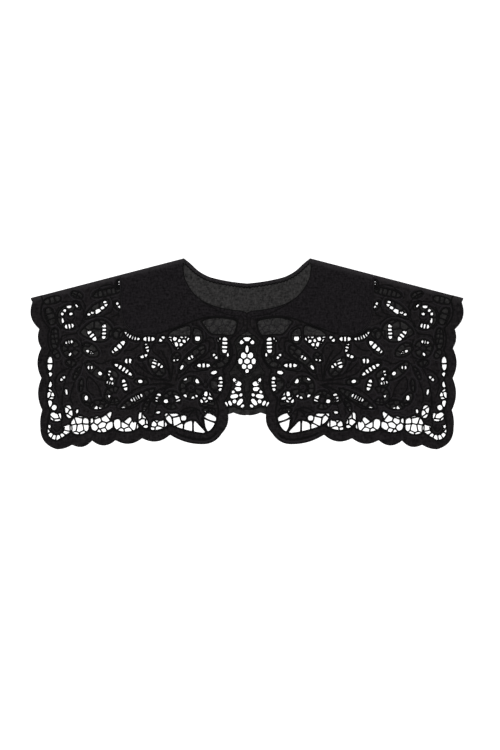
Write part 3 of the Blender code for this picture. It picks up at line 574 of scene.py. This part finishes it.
BACK_WINDOWS = [Window(*row) for row in (
    (-166.5, 89.3, 9, 3.2, 82, 3), (-205.5, 50.2, 4.4, 3.4, 0, 1, 0.9),
    (-200.4, 53, 5.6, 3.8, 30, 1, 0.9), (-193.6, 54, 8, 6.4, 20, 1, 0.7),
    (-187.8, 58.8, 6, 4, 30, 1, 0.9), (-183.2, 62.3, 5.2, 3.8, 10, 1, 0.9),
    (-184.8, 66.2, 4.8, 3.2, 10, 1, 0.9), (-167.2, 62.3, 9, 3.8, -57, 2),
    (-186, 28, 19.5, 5.6, 88, 4, 0.6), (-201.5, 22.7, 16.5, 6.4, -51, 3), (-231.5, 61.3, 7, 6.4),
    (-238.5, 53, 9.5, 4.4, 55, 2, 0.7), (-239.3, 43, 8.5, 3.4, 88, 1, 0.9),
    (-231, 35, 12, 6.6, 10, 3), (-228.8, 51, 5, 3.8, 25), (-221.5, 61.4, 5, 2.6, -50, 1, 0.9),
    (-231.5, 14.3, 10.5, 5, 8, 3), (-230, -1.7, 5, 3, 60), (-204.5, 1.4, 10.5, 3.8, -22, 2, 0.9),
    (-174.5, 2, 4.8, 3, -55), (-166, 9, 19, 7, 42, 3, 1), (-149.5, 22.5, 22, 5, -24, 6, 0.7, -2),
    (-127.5, 18.3, 15, 6, 0, 3), (-129.8, 7.5, 13, 5, -75, 3), (-134, -3.6, 10, 5, 22, 2),
    (-164.2, 42, 3.6, 3.2), (-110.6, 18.6, 9.5, 4.8, 50, 2), (-92.5, -9, 7.5, 3.4, 12, 2),
    (-154.2, -10.3, 9, 6.6, 2, 2, 0.7), (-120.3, -13.3, 13.5, 6.8, 72, 3, 0.9),
    (-113, -16.2, 8.5, 5, -38, 2, 0.9), (-161, -21.8, 27, 5.8, -33, 5, 1, 1),
    (-138.8, -36.8, 6, 4.4, -10), (-159, -41.5, 15, 5.6, -75, 3), (-178.8, -26, 6.8, 4.2, 80, 2),
    (-176.2, -33.5, 4.6, 3.6, -30), (-178.2, -38.8, 9.5, 5, -15, 3),
    (-176.6, -56.4, 8.5, 4.6, -15, 2), (-143.6, -58.3, 17, 6.6, 27, 5, 0.7),
    (-119.6, -45, 3.4, 2.4), (-209, -58.3, 6.5, 4.4, 90), (-204, -18.8, 6.8, 5.4, 0, 2),
    (-191, -26.5, 5.4, 4.6, -40), (-115.5, -58.6, 13.5, 6.6, 76, 3), (-105.3, -62.6, 6, 5),
    (-94, -59.4, 15, 9, -14, 2, 0.8, 0, 2), (-64.3, 19, 6.8, 6.6), (-70.4, 21.3, 2.8, 2.6),
    (-73.2, -5.8, 8.5, 5, 30, 2, 0.9), (-84.9, -18.6, 7, 3.6, 55),
    (-56.5, -16.1, 17, 5.4, 0, 3, 0.9), (-80.9, -33.2, 6, 4.8), (-62.6, -35.4, 10, 6.6, 30, 2),
    (-80.6, -56, 4.8, 4.8, 40), (-67.4, -58, 11, 6.4, 25, 2, 0.9), (-36.8, 17, 8.5, 3.6, 55, 2),
    (-29, 10.5, 21, 7, 88, 4, 0.6), (-25, -2.4, 5, 2.8, 88), (-41.5, -4.2, 8.5, 4, -50, 2),
    (-43, -25.2, 8.4, 5, 14, 1, 1), (-34.6, -40, 19, 6.4, 88, 4, 0.7), (0, 18, 11, 5.4),
    (-6.6, 14.4, 6.6, 5, 48), (0.6, 5, 11, 5.6, 90, 1, 1.1), (-4.2, -3.2, 8.4, 7.6, 90),
    (-8.6, -10.6, 7.8, 5.6, 90), (0, -10.6, 7.6, 7.6, 90), (-3.8, -17.4, 6.6, 6.2, 90),
    (0, -23.4, 5.6, 5.2, 90, 1, 1), (-16, -35.8, 7, 4, -62, 1, 0.9),
    (-11.4, -39.8, 8.6, 6.4, -12, 1, 0.9), (-12, -46.8, 8.8, 5.6, 0, 1, 0.7),
    (-17.6, -50.2, 5.4, 3.8, 38), (-16.6, -56.2, 10.6, 5.6, 10), (-8, -54.4, 4.6, 4.2, 45),
    (-16.3, -62.9, 5.4, 5.4, 14, 1, 0.9), (-9.3, -63.6, 10.5, 5.6, 50),
    (-5.9, -68.8, 5.4, 3.6, 38), (-22.1, -65.1, 7.2, 4.2, -62), (-26.8, -66.4, 6.6, 3.2, -68),
)]



def paired(numbers):
    """Points, from a row that gives their x and y in turn."""
    return list(zip(numbers[::2], numbers[1::2]))


# Wider openings, filled with a net: its pitch, then the points of their edge.
Net = namedtuple("Net", "pitch points")
FRONT_NETS = [Net(pitch, paired(row)) for pitch, *row in (
    (10, -58, 41.5, -46, 45.3, -33, 45.6, -16, 42.4, -13, 36, -15.5, 27, -21, 23.5, -33, 24.5,
     -45, 25, -51, 30, -55, 36),
    (11, -97.5, 28, -87, 32.5, -76, 35.5, -73.5, 29, -75.5, 17, -82, 10.5, -89.5, 5, -94.5, 9,
     -99, 15.5, -102.5, 22),
    (11, -69, 31, -62.5, 30.5, -58.5, 25, -58.5, 16, -65, 12.5, -69.5, 17),
    (9, -88.4, -24, -86.5, -14.5, -78, -4, -67.5, 5, -57.5, 9.5, -54.5, 5, -57.5, -2, -66, -8.5,
     -76.5, -15.5, -84.5, -22.5),
    (12, -68.5, -17.5, -63.5, -13, -56, -11.5, -48, -13.5, -48.5, -18.5, -57, -21, -65, -20.5),
    (11, -38.5, 17, -34, 20.5, -26.5, 19.5, -23, 9, -22.5, -4, -25.5, -12, -32.5, -17.5, -40, -19,
     -45, -17.5, -41.5, -13, -34.5, -8, -36, 0, -36, 10),
    (11, -39, -31, -33.5, -30, -31.8, -35, -31.8, -43, -34, -49, -39, -51.5, -45.5, -46.5,
     -47.5, -38, -44, -33.5),
    (12, -56, -50.5, -49, -50, -45, -56.5, -43, -63, -43.5, -68, -48, -67, -53.5, -69, -60, -67.5,
     -60.5, -59),
    (8, -57, -73.3, -51.5, -71.6, -43.5, -72.6, -42, -76.6, -48, -74.8, -54, -76.8),
    (60, -82.3, -96.5, -80.5, -91, -75, -88.4, -68, -88, -62, -94, -54.6, -102.4, -57.5, -104.4,
     -69, -104.4, -79.3, -102),
    (60, -58, -84.6, -54.6, -81.9, -50.7, -78, -40.8, -83, -40.5, -87.5, -44.2, -96, -49.8, -101.6,
     -52.4, -99.6, -55.6, -92),
    (10.5, -106, -78.5, -98, -78.7, -91, -78.5, -87.5, -83, -86.5, -88, -83, -93.5, -83.5, -98,
     -88, -97.5, -95, -94, -101, -90.5, -106, -84),
    (9.3, -228.8, -91, -224, -83.5, -217.5, -81.5, -212, -83.5, -206.5, -86, -205.8, -92,
     -206.5, -100, -212, -106, -224, -106, -229, -101),
    (9.3, -203, -85, -199, -85, -195, -82, -190, -84, -186, -82, -180, -77.5, -176.5, -76,
     -176, -79, -178, -85.5, -175, -89, -175, -97, -181, -102.5, -192, -103.5, -200.5, -100.5,
     -203, -93),
    (9.3, -172.5, -87.5, -167, -85.5, -163.5, -89, -159.5, -88.5, -152.5, -83, -150, -86,
     -148, -90.5, -145, -89, -141.5, -93.5, -142, -98, -148.5, -101, -160, -102, -169, -99.5,
     -172.5, -95),
    (8.5, -141, -84.5, -140.4, -78, -136, -77.2, -134, -82, -131, -84.5, -129, -90, -129, -96.5,
     -133.5, -97, -137.5, -93, -141.3, -89),
    (9.3, -125, -98.5, -123.3, -90, -119.5, -87, -112.5, -88.3, -108.3, -87, -104.8, -91,
     -104.3, -94, -108, -97, -115.7, -99.5, -122, -100.3),
    (7.5, -260.6, -49.4, -257.4, -46.5, -253.5, -49.4, -250.5, -54.6, -252.2, -59.5, -256, -59.5,
     -260, -59.8, -261, -55),
    (8.5, -255.5, -79.5, -252, -77, -248, -79, -245.5, -79, -242.5, -78, -241.5, -82.5,
     -242.3, -87, -246.4, -88.5, -251, -88, -255, -85.8),
    (12, -216, 27, -205, 38.5, -194, 42.5, -185, 41.5, -177, 34, -176, 24, -186, 15.8,
     -197.5, 15.8, -207, 20.5),
    (7, -173, 29, -166.5, 32, -161.5, 27.5, -163, 21.8, -168.5, 18.5, -173, 21),
    (11, -210, 46.8, -207.5, 53, -199, 62, -187.5, 68, -180.5, 69, -181, 62.5, -189.5, 54.5,
     -200, 47.8, -207.5, 45),
    (9, -215, 7, -211.6, 12, -204.6, 12.5, -197.6, 8, -193, 0.5, -195, -4, -204.6, -4, -212, 1.3),
    (11, -176, 0, -174.5, 5, -168, 11, -163, 17, -157.5, 17.5, -157, 13, -160, 9, -165.5, 2,
     -171.6, -2.6),
    (11, -160, 30, -156.5, 30, -151.5, 25.3, -145, 22.5, -138.5, 21.3, -138.5, 17, -145.6, 16,
     -153, 18.5, -158, 24.5),
    (6.5, -97.5, -10, -95.5, -3, -91.5, 0.5, -87.5, -2.5, -87.5, -8.5, -92, -11.5),
    (11, -126.5, -6.5, -122.2, -7, -113, -12.5, -107.5, -19.5, -107.5, -27, -113, -29.5,
     -119.5, -26.5, -124.8, -18, -127.8, -11),
    (11, -181.5, -21.5, -176.8, -21, -169.5, -25.5, -168, -30.5, -170.5, -35, -172, -42.5,
     -179.4, -44, -183, -40, -182, -32.5, -182.2, -26),
)]
BACK_NETS = [Net(pitch, paired(row)) for pitch, *row in (
    (6.6, -102, 23, -88, 24.5, -75, 24.5, -75, 18.5, -82, 12, -90, 5.5, -94.5, 9, -100.5, 16.5),
    (7, -56, -51, -49.5, -50.5, -46, -57, -44, -62.5, -48, -63.5, -53.5, -64, -60, -64.5,
     -60.5, -59),
)]

# The single bars beside the star of the front corner, from end to end.
STAR_BARS = [((-70.3, -88), (-70.2, -104.4)), ((-56.4, -83.8), (-42, -89.6))]
# Rosettes of the front: a ring of cells round a worked centre.
Rosette = namedtuple("Rosette", "x y inner outer cells start sweep")
FRONT_ROSETTES = [
    Rosette(-230.5, 46.5, 8.5, 15.5, 10, 62, 236),
    Rosette(-229, 6, 4.5, 11.0, 7, 20, 320),
    Rosette(-247, -98, 8.6, 19.0, 8, 155, 222),
    Rosette(-173, -55, 4.5, 11.5, 7, 60, 250),
    Rosette(-72.5, -45, 6.5, 14.5, 10, 20, 325),
    Rosette(-98, -61, 5.0, 11.5, 9, -20, 320),
    Rosette(-115.5, -59, 0.8, 6.8, 5, 35, 290),
]

# The cords of the fronts that edge no window: stems, petals and scrolls, by points on their way.
FRONT_STEMS = [paired(row) for row in (
    (-98.8, -36.4, -102.5, -24, -107, -14, -114, -5, -121.5, 1.5, -124, 8.5, -119, 13, -112, 12.5,
     -104.5, 13.5, -99.5, 7, -97, -6, -96.5, -20, -98.8, -36.4),
    (-98.8, -36.4, -101, -20, -106, -6, -112, 4),
    (-98.8, -36.4, -113, -32.5, -123.5, -28.5, -130.7, -21, -135.2, -12.8, -140.4, -7,
     -146.5, -6.5, -150.3, -12, -148.4, -19.5, -142, -26.5, -131, -31.3, -116, -34.6,
     -98.8, -36.4),
    (-104, -35, -120, -29.5, -133, -23, -143, -13.5),
    (-100, -40, -124, -40.5, -145.6, -47, -162, -60, -169, -71.5, -152, -72.5, -136, -63.5,
     -125, -53, -102.7, -43),
    (-97.5, -40.3, -113, -47.5, -124, -62, -129, -79),
    (-95, -41, -108, -50, -118, -70, -122, -84),
    (-93, -36, -90, -28, -84, -10, -71, 4, -58, 13, -50, 16, -49, 6, -56, -5, -70, -14, -86, -30),
    (-90, -34, -76, -24.5, -62, -24, -50, -22),
    (-62, -10, -50, -7, -46, -2, -50, 4),
    (-72, 36.5, -64, 35, -55.5, 29, -53.5, 20, -57, 13),
    (-52, 19, -45.5, 20, -41, 12, -43, 4),
    (-79, -50, -80, -43, -76, -38.5, -70, -38.5, -67.5, -43, -70, -47.5, -74, -46),
    (-53.5, -36, -50.5, -42, -53, -46, -57, -42, -53.5, -36),
    (-102, -57, -96, -55, -93, -60, -96, -65.5, -101, -64, -99.5, -60.5),
    (-66, -72, -64, -84, -54, -100.5),
    (-66, -72, -58, -80, -54, -100.5),
    (-66, -72, -74, -80, -80, -90),
    (-66, -72, -78, -77, -86, -76, -76, -71, -66, -72),
    (-228, 79, -216.5, 72, -210, 60, -213, 50),
    (-242, 67, -232, 66, -220, 68, -213, 57, -213, 42),
    (-234, 50, -230, 54, -225, 51, -224.5, 45, -229, 41, -233.5, 44),
    (-244, 60, -249, 50, -247, 38, -241, 31),
    (-215, 40, -222, 26, -240, 22, -242, 8, -236, -4, -224, -8, -214, -2, -216, 18),
    (-219, -9, -230.5, -24, -238, -44, -240, -66, -236, -84),
    (-213, -14, -224, -38, -229.5, -56, -226, -68),
    (-228, -18, -244, -26, -250, -40, -246, -56),
    (-206, -30, -199, -36, -192, -46, -189, -56, -180, -66),
    (-206, -30, -209, -40, -206, -50, -199, -55),
    (-213, -14, -203, -10, -190, -14, -180, -10, -164, -8),
    (-221, 33, -210, 43.5, -194, 47, -182, 46, -172, 38),
    (-186, 49, -176, 54, -174, 66, -178, 73),
    (-176, 47, -168, 50, -166, 56),
    (-204, 71, -188, 87, -172, 88),
    (-160, 3, -150, 4, -141, 10, -138, 16),
    (-258, -80, -259, -96, -250, -106, -240, -103, -237, -96),
    (-252, -97, -248, -102, -243, -99, -241, -92, -238, -74),
)]
NET_UNEVEN = 0.3
NET_ROWS = 0.87
NET_EDGE = 0.25
NEIGHBOURS = 30
SHORTEST_BAR = 1.0
SEED_SPREAD = 0.96
ROW_SHIFT = 0.25
BAR_RADIUS = 1.0
STAR_BAR_RADIUS = 1.3
BACK_BAR_RADIUS = 1.3
FINE_BAR_RADIUS = 0.4
BAR_FLARE = 0.5
BAR_INTO_CLOTH = 0.8
BAR_BOW = 0.06
BAR_SIZES = (0.85, 1.1)
CORD_RADIUS = 0.9
CORD_PROUD = 0.35
CORD_MARGIN = 0.6
LEAF_MARGIN = 3.4
LEAF_PROUD = 0.3
LEAF_CLEAR = 0.6
BACK_MARGINS = (2.2, 4.6)
BACK_CENTRE = -32
LEAF_RADIUS = 0.6
# Where the painted shade on the back between the fronts ends: its half width at the top, and how it
# narrows.
GAP_HALF_AT_TOP = 22.4
GAP_SPREAD = 0.15


def unit(angle):
    return Vector((math.cos(math.radians(angle)), math.sin(math.radians(angle))))


def scalloped(start, scallops, outwards, steps=9):
    """Arcs from notch to notch, each bulging to the left of its way, or to the right for -1."""
    curve = [Vector((start.x, start.y))]
    for scallop in scallops:
        begin, end = curve[-1], Vector((scallop.x, scallop.y))
        chord = end - begin
        count = steps if abs(scallop.bulge) > 1.0 else 2
        for step in range(1, count + 1):
            t = step / count
            reach = outwards * scallop.bulge * 4 * t * (1 - t)
            curve.append(begin + chord * t + across(chord.normalized()) * reach)
    return curve


def clipped(polygon, through, direction):
    """The part of the polygon on the near side of a line, which runs across the direction."""
    kept = []
    for a, b in sides_of(polygon):
        side_a, side_b = (a - through).dot(direction), (b - through).dot(direction)
        if side_a <= 0:
            kept.append(a)
        if side_a * side_b < 0:
            kept.append(a + (b - a) * side_a / (side_a - side_b))
    return kept


def netted(outline, seeds):
    """The bars that part an opening into one cell round each seed, each as its two ends."""
    bars = []
    for number, seed in enumerate(seeds):
        near = [s for s in seeds if s is not seed and (s - seed).length < NEIGHBOURS]
        for other in seeds[number + 1 :]:
            if all(other is not s for s in near):
                continue
            gap = other - seed
            through = seed + gap / 2
            cell = clipped(outline, through, gap)
            for third in near:
                if third is not other and cell:
                    cell = clipped(cell, seed + (third - seed) / 2, third - seed)
            ends = [p for p in cell if abs((p - through).dot(gap.normalized())) < 1e-3]
            if len(ends) > 1:
                a, b = ends[0], max(ends[1:], key=lambda p: (p - ends[0]).length)
                if (b - a).length > SHORTEST_BAR:
                    bars.append((a, b))
    return bars


def window_shape(window):
    """A window's outline, an oval pointed by its ends and bowed by its bend, and its seeds."""
    middle = Vector((window.x, window.y))
    along, wide = unit(window.angle), across(unit(window.angle))

    def place(u, v):
        bow = window.bend * (1 - (2 * u / window.length) ** 2)
        return middle + along * u + wide * (v + bow)

    count = 20 if window.length < 15 else 28
    outline = []
    for step in range(count):
        turn = 2 * math.pi * (step + 0.5) / count
        c, s = math.cos(turn), math.sin(turn)
        u = window.length / 2 * math.copysign(abs(c) ** min(window.ends, 1.0), c)
        outline.append(place(u, window.width / 2 * math.copysign(abs(s) ** window.ends, s)))
    seeds = []
    for row in range(window.rows):
        shift = ROW_SHIFT * (-1) ** row if window.rows > 1 else 0.0
        for cell in range(window.cells):
            u = ((cell + 0.5 + shift) / window.cells - 0.5) * window.length * SEED_SPREAD
            v = ((row + 0.5) / window.rows - 0.5) * window.width
            seeds.append(place(u, v))
    return outline, seeds


def net_shape(net):
    """A wider opening's edge and its seeds, about evenly spread and none quite alike."""
    outline = smooth(net.points, 4, closed=True)
    low, high = box_of(net.points)
    uneven = random.Random(len(net.points) + int(-low.x))
    rise = net.pitch * NET_ROWS
    seeds = []
    for row in range(int((high.y - low.y) / rise) + 2):
        for column in range(int((high.x - low.x) / net.pitch) + 2):
            spot = low + Vector(((column + 0.5 * (row % 2)) * net.pitch, row * rise))
            shift = Vector((uneven.uniform(-1, 1), uneven.uniform(-1, 1)))
            seed = spot + shift * NET_UNEVEN * net.pitch
            if distance_outside(seed, outline) < NET_EDGE * net.pitch:
                seeds.append(seed)
    return outline, seeds


def rosette_shape(rosette):
    """A rosette's ring-shaped opening and the bars across it."""
    middle = Vector((rosette.x, rosette.y))
    turns = [rosette.start + rosette.sweep * step / 24 for step in range(25)]
    outer = [middle + unit(turn) * rosette.outer for turn in turns]
    inner = [middle + unit(turn) * rosette.inner for turn in reversed(turns)]
    bars = []
    for number in range(1, rosette.cells):
        way = unit(rosette.start + rosette.sweep * number / rosette.cells)
        bars.append((middle + way * rosette.inner, middle + way * rosette.outer))
    return outer + inner, bars


def paint_gap_shade(piece):
    """Paints shade: a darker wrong side where the gap between the fronts shows it."""
    piece.data.materials.append(GAP_SHADE_WRONG_SIDE)
    for face in piece.data.polygons:
        place = face.center / MM
        if face.material_index == 1 and abs(place.x) < GAP_HALF_AT_TOP - GAP_SPREAD * place.y:
            face.material_index = 2


def free_runs(ring, is_free):
    """The stretches of a closed line whose points are free, each with whether it is all of it."""
    free = [is_free(point) for point in ring]
    if all(free):
        return [(ring, True)]
    if not any(free):
        return []
    start, runs, run = free.index(False), [], []
    for step in range(1, len(ring) + 1):
        here = (start + step) % len(ring)
        if free[here]:
            run.append(ring[here])
            continue
        if len(run) > 3:
            runs.append((run, False))
        run = []
    return runs


def rings_round(shapes, margin, inside_of):
    """Lines round the openings at a margin, left out where they would run into another one."""
    grown = [inset(shape, -margin * LEAF_CLEAR) for shape in shapes]
    runs = []
    for number, shape in enumerate(shapes):
        others = grown[:number] + grown[number + 1 :]

        def is_free(point):
            if point.x > 0 or not is_inside(point, inside_of):
                return False
            return not any(is_inside(point, other) for other in others)

        runs += free_runs(evenly(inset(shape, -margin), 1.5, True), is_free)
    return runs


yoke_back = back_neck + back_yoke[::-1]
front_band = unfolded(scalloped(FRONT_YOKE[-1], FRONT_BAND, 1))
back_band = scalloped(FRONT_BAND[-1], BACK_BAND, -1) + [Vector(BACK_BAND_END)]
lace_outline = front_yoke[::-1] + back_yoke + back_band[::-1] + front_band[::-1]

# Each opening with its bars, in the flat cloth: those of the fronts are unfolded. No bar of the
# fronts lies over a window of the back, and each leaf has a finer cord round its window. Those
# finer cords, and the fine bars over the back of the yoke, are drawn in a lighter tone as a painted
# highlight.
openings, bars, cords, back_shapes, highlight_cords = [], [], [], [], []
for windows, nets, is_front in (
    (BACK_WINDOWS, BACK_NETS, False),
    (FRONT_WINDOWS, FRONT_NETS, True),
):
    seeded = [*map(window_shape, windows), *map(net_shape, nets)]
    shapes = [(shape, netted(shape, seeds)) for shape, seeds in seeded]
    if is_front:
        shapes += [rosette_shape(rosette) for rosette in FRONT_ROSETTES]
    else:
        back_shapes = [shape for shape, _ in shapes]
    for shape, across_it in shapes:
        flat_shape = unfolded(shape) if is_front else shape
        openings.append(flat_shape)
        edge = evenly(inset(flat_shape, -CORD_MARGIN), 1.0, True)
        outside = [number for number, p in enumerate(edge) if not is_inside(p, lace_outline)]
        if outside:
            edge = edge[outside[-1] :] + edge[: outside[0] + 1] if outside[0] else edge
            edge = [point for point in edge if is_inside(point, lace_outline)]
        cords.append(Cord(edge, CORD_RADIUS, CORD_PROUD, closed=not outside))
        for a, b in across_it:
            spots = [a.lerp(b, t) for t in (0.5, 0.25, 0.75)]
            if not is_front:
                bars.append(([a, b], BACK_BAR_RADIUS))
            elif not any(is_inside(spot, other) for spot in spots for other in back_shapes):
                ends = unfolded([a, b])
                if is_inside(spots[0], yoke_back):
                    highlight_cords.append(Cord(ends, FINE_BAR_RADIUS, 0.0, BAR_FLARE))
                else:
                    bars.append((ends, BAR_RADIUS))
lace_inner = inset(lace_outline, RIM)
for run, closed in rings_round(openings[len(back_shapes) :], LEAF_MARGIN, lace_inner):
    highlight_cords.append(Cord(run, LEAF_RADIUS, LEAF_PROUD, closed=closed))
at_centre = [shape for shape in back_shapes if shape[0].x > BACK_CENTRE]
for margin in BACK_MARGINS:
    for run, closed in rings_round(at_centre, margin, lace_inner):
        cords.append(Cord(run, LEAF_RADIUS, CORD_PROUD, closed=closed))
for ends in STAR_BARS:
    bars.append((unfolded(ends), STAR_BAR_RADIUS))
for stem in FRONT_STEMS:
    cords.append(Cord(unfolded(smooth(stem)), CORD_RADIUS, CORD_PROUD))
CUTWORK = woven_cotton("black_cutwork_cotton", "#060506", "#1b191a", 4, 0.85)
LACE_WRONG_SIDE = woven_cotton("black_cutwork_wrong_side", "#0c0c0c", "#292828", 4, 0.9)
# A darker copy of the wrong side: painted shade on the back between the fronts.
GAP_SHADE_WRONG_SIDE = woven_cotton("cutwork_wrong_side_painted_shade", "#080808", "#1f1e1e", 4, 0.9)
lace, lace_area, lace_cut = cut_cloth(
    "lace_cloth", lace_outline, openings, [CUTWORK, LACE_WRONG_SIDE]
)
paint_gap_shade(lace)

# The bars run a little way into the cloth, bow a little and thicken at both ends.
wander = random.Random(7)
wrapped = []
for (a, b), radius in bars:
    over = (b - a).normalized() * BAR_INTO_CLOTH
    bow = across(b - a) * wander.uniform(-BAR_BOW, BAR_BOW)
    line = smooth([a - over, (a + b) / 2 + bow, b + over], 4)
    line = [point for point in line if is_inside(point, lace_outline)]
    if len(line) > 2:
        wrapped.append(Cord(line, radius * wander.uniform(*BAR_SIZES), 0.0, BAR_FLARE))
BAR_THREAD = wrapped_thread("black_thread_wrapped_bar", "#060506", "#0e0d0e", 0.65)
lace_bars = corded("lace_bars", wrapped, BAR_THREAD, spacing=2.0)
lace_cords = corded("lace_cords", cords, CORD)
lace_highlight_cords = corded("lace_highlight_cords", highlight_cords, HIGHLIGHT_THREAD)
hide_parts("lace")

# ------------------------------------------------------------
# The border: a plain scalloped band of the same cotton round the whole outer edge, worked double
# so it is thicker than the cutwork. A heavy cord joins it to that, its edge is overcast, and the
# front corner is topstitched.
BORDER_THICK = 1.2
ROLL = 0.45
STITCH_LINE, TURNED_LINE = 6.0, 3.2
STITCH = 2.4
ZIGZAG = 0.7
FRONT_EDGE_START = Point(0.0, 27.3)
FRONT_EDGE = [Scallop(*row) for row in (
    (-16.9, 14.3, -2), (-23.4, -25.4, 6.8), (-30.5, -63.7, 5.6), (-24.7, -80, 2.5),
    (-33, -104.5, 3), (-60, -118.3, 4.5), (-100, -106, 3), (-136.5, -110.5, 6.6),
    (-171, -113, 6.1), (-201.5, -113.5, 6.8), (-227.5, -119, 5.5), (-247, -125, 1.5),
    (-268.5, -96, 7), (-266, -74, 1.2), (-267, -32.5, 5), (-267, 6.5, 5.3), (-269.5, 31.2, 3.2),
    (-278.5, 66.3, 6.5), (-281, 70.8, 0),
)]
BACK_EDGE = [Scallop(*row) for row in (
    (-275, 62, 0), (-262, 29, 4), (-252, -4, 4), (-226, -32, 4), (-226, -60, 3), (-214, -74.5, 5),
    (-196, -68.5, 4), (-160, -69.5, 4.6), (-124, -70.5, 4.6), (-88, -72.5, 4.6), (-52.5, -75, 4.4),
    (-17.5, -77.2, 4.2), (0, -80.8, 1.2),
)]
BACK_EDGE_END = Point(PAST_CENTRE, -80.8)
front_edge = unfolded(scalloped(FRONT_EDGE_START, FRONT_EDGE, 1))
back_edge = scalloped(FRONT_EDGE[-1], BACK_EDGE, -1) + [Vector(BACK_EDGE_END)]
border_outline = front_edge + back_edge[1:] + back_band[::-1] + front_band[::-1] + [front_end]
border, border_area, _ = cut_cloth(
    "border_cloth", border_outline, [], [CUTWORK, LACE_WRONG_SIDE], BORDER_THICK
)
outer_edge = front_edge + back_edge[1:-1]
inner_edge = front_band + back_band[1:-1]
rolled_edge = beside(outer_edge, ROLL)
corner = scalloped(FRONT_EDGE[4], FRONT_EDGE[5:7], 1) + [Vector((-60, -60))]
stitched = evenly(inset(corner, STITCH_LINE)[1:-2], STITCH, False)
turned_edge = evenly(inset(corner, TURNED_LINE)[1:-2], STITCH, False)
topstitch = []
for number, point in enumerate(stitched):
    topstitch.append(unfold(point + Vector((0, ZIGZAG if number % 2 else -ZIGZAG))))
meeting = [(-0.05, 51), (-0.05, 28)]
front_rims = [
    (-60, 68.3), (-50, 61.8), (-42, 57.4), (-33, 52.6), (-23, 49.6), (-12, 48.4), (-6, 47.2),
    (-4.4, 43), (-4.6, 38), (-5.4, 34), (-10.5, 28), (-17.6, 20),
]
border_cords = corded(
    "border_cords",
    [
        Cord(unfolded(meeting), radius=0.5, proud=0.5),
        Cord(unfolded(smooth(front_rims)), radius=0.5, proud=0.55),
        Cord(inner_edge, radius=0.95, proud=0.55),
        Cord(rolled_edge, radius=0.65, proud=0.1),
        Cord(topstitch, radius=0.9, proud=0.75),
        Cord(unfolded(stitched), radius=0.9, proud=0.6),
    ],
    CORD,
)
# The turned edge of the front corner: a cord in the lighter tone, a painted highlight.
border_rim = corded("border_rim", [Cord(unfolded(turned_edge), radius=0.8, proud=0.3)], HIGHLIGHT_THREAD)
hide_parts("border")
border_length = 2 * sum((b - a).length for a, b in zip(rolled_edge, rolled_edge[1:]))

# ------------------------------------------------------------
# The neck binding: a narrow strip of black cotton sewn round the back of the neck, with its
# lower edge overcast in a zigzag of about 4 mm.
BINDING_THICK = 1.3
OVERCAST = 2.2
OVERCAST_ABOVE, OVERCAST_BELOW = 1.0, -1.2
NECK_ROLL = 0.5
binding_outline = [binding_tip] + back_neck[1:] + binding_edge[::-1]
BINDING_CLOTH = woven_cotton("black_cotton_binding", "#111011", "#232123", 3, 0.8)
binding, binding_area, _ = cut_cloth(
    "neck_binding_cloth", binding_outline, [], [BINDING_CLOTH, BINDING_CLOTH], BINDING_THICK
)
overcast = []
for number, spot in enumerate(evenly(binding_edge, OVERCAST, False)):
    overcast.append(spot + Vector((0, OVERCAST_ABOVE if number % 2 else OVERCAST_BELOW)))
neck_roll = beside(back_neck[1:], -NECK_ROLL)
overlock = corded(
    "neck_overlock",
    [
        Cord(overcast, radius=0.6, proud=3.4),
        Cord([binding_tip] + binding_edge, radius=0.6, proud=1.0),
    ],
    CORD,
    spacing=0.8,
    sides=5,
)
# The rolled edge of the back neck: a cord in the lighter tone, a painted highlight.
neck_rim = corded("neck_rim", [Cord(neck_roll, radius=0.55, proud=0.5)], HIGHLIGHT_THREAD)
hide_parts("neck_binding")
binding_length = 2 * sum((b - a).length for a, b in zip(back_neck, back_neck[1:]))

# ------------------------------------------------------------
# The setting: a matt white board to lie on, one broad soft light from above the camera, which
# also reaches the board through the cutwork, and a pale room to fill the shadows.
BOARD_HALF = 4
LAMP_WIDTH, LAMP_WATTS, LAMP_PLACE = 1.6, 235, (-0.5, 0.6, 4.2)
ROOM_LIGHT = 0.4
LENS, SENSOR = 100, 36
VIEW_HEIGHT = 0.975
VIEW_CENTRE = (0.0039, -0.0278)
white_board = bare_material("matt_white_board")
matt_white = {"Base Color": colour("#f4f4f4"), "Roughness": 0.9, "Specular IOR Level": 0.1}
board_surface = add_node(white_board, "BsdfPrincipled", matt_white)
add_node(white_board, "OutputMaterial", {"Surface": board_surface.outputs["BSDF"]})
board_mesh = bpy.data.meshes.new("tabletop")
corners = [(x * BOARD_HALF, y * BOARD_HALF, 0) for x, y in ((-1, -1), (1, -1), (1, 1), (-1, 1))]
board_mesh.from_pydata(corners, [], [(0, 1, 2, 3)])
board_mesh.materials.append(white_board)
board = bpy.data.objects.new("tabletop", board_mesh)
bpy.context.scene.collection.objects.link(board)

lamp_data = bpy.data.lights.new("overhead_softbox", "AREA")
lamp_data.shape = "DISK"
lamp_data.size = LAMP_WIDTH
lamp_data.energy = LAMP_WATTS
lamp = bpy.data.objects.new("overhead_softbox", lamp_data)
lamp.location = LAMP_PLACE
lamp.rotation_mode = "QUATERNION"
lamp.rotation_quaternion = (-lamp.location).to_track_quat("-Z", "Y")
bpy.context.scene.collection.objects.link(lamp)

room = bpy.data.worlds.new("pale_room")
room.use_nodes = True
room_light = room.node_tree.nodes["Background"].inputs
room_light["Color"].default_value = colour("#f2f2f2")
room_light["Strength"].default_value = ROOM_LIGHT
bpy.context.scene.world = room
bpy.context.scene.view_settings.view_transform = "Standard"

camera_data = bpy.data.cameras.new("camera")
camera_data.lens = LENS
camera_data.sensor_width = SENSOR
camera = bpy.data.objects.new("camera", camera_data)
camera.location = (*VIEW_CENTRE, VIEW_HEIGHT * LENS / SENSOR)
bpy.context.scene.collection.objects.link(camera)
bpy.context.scene.camera = camera
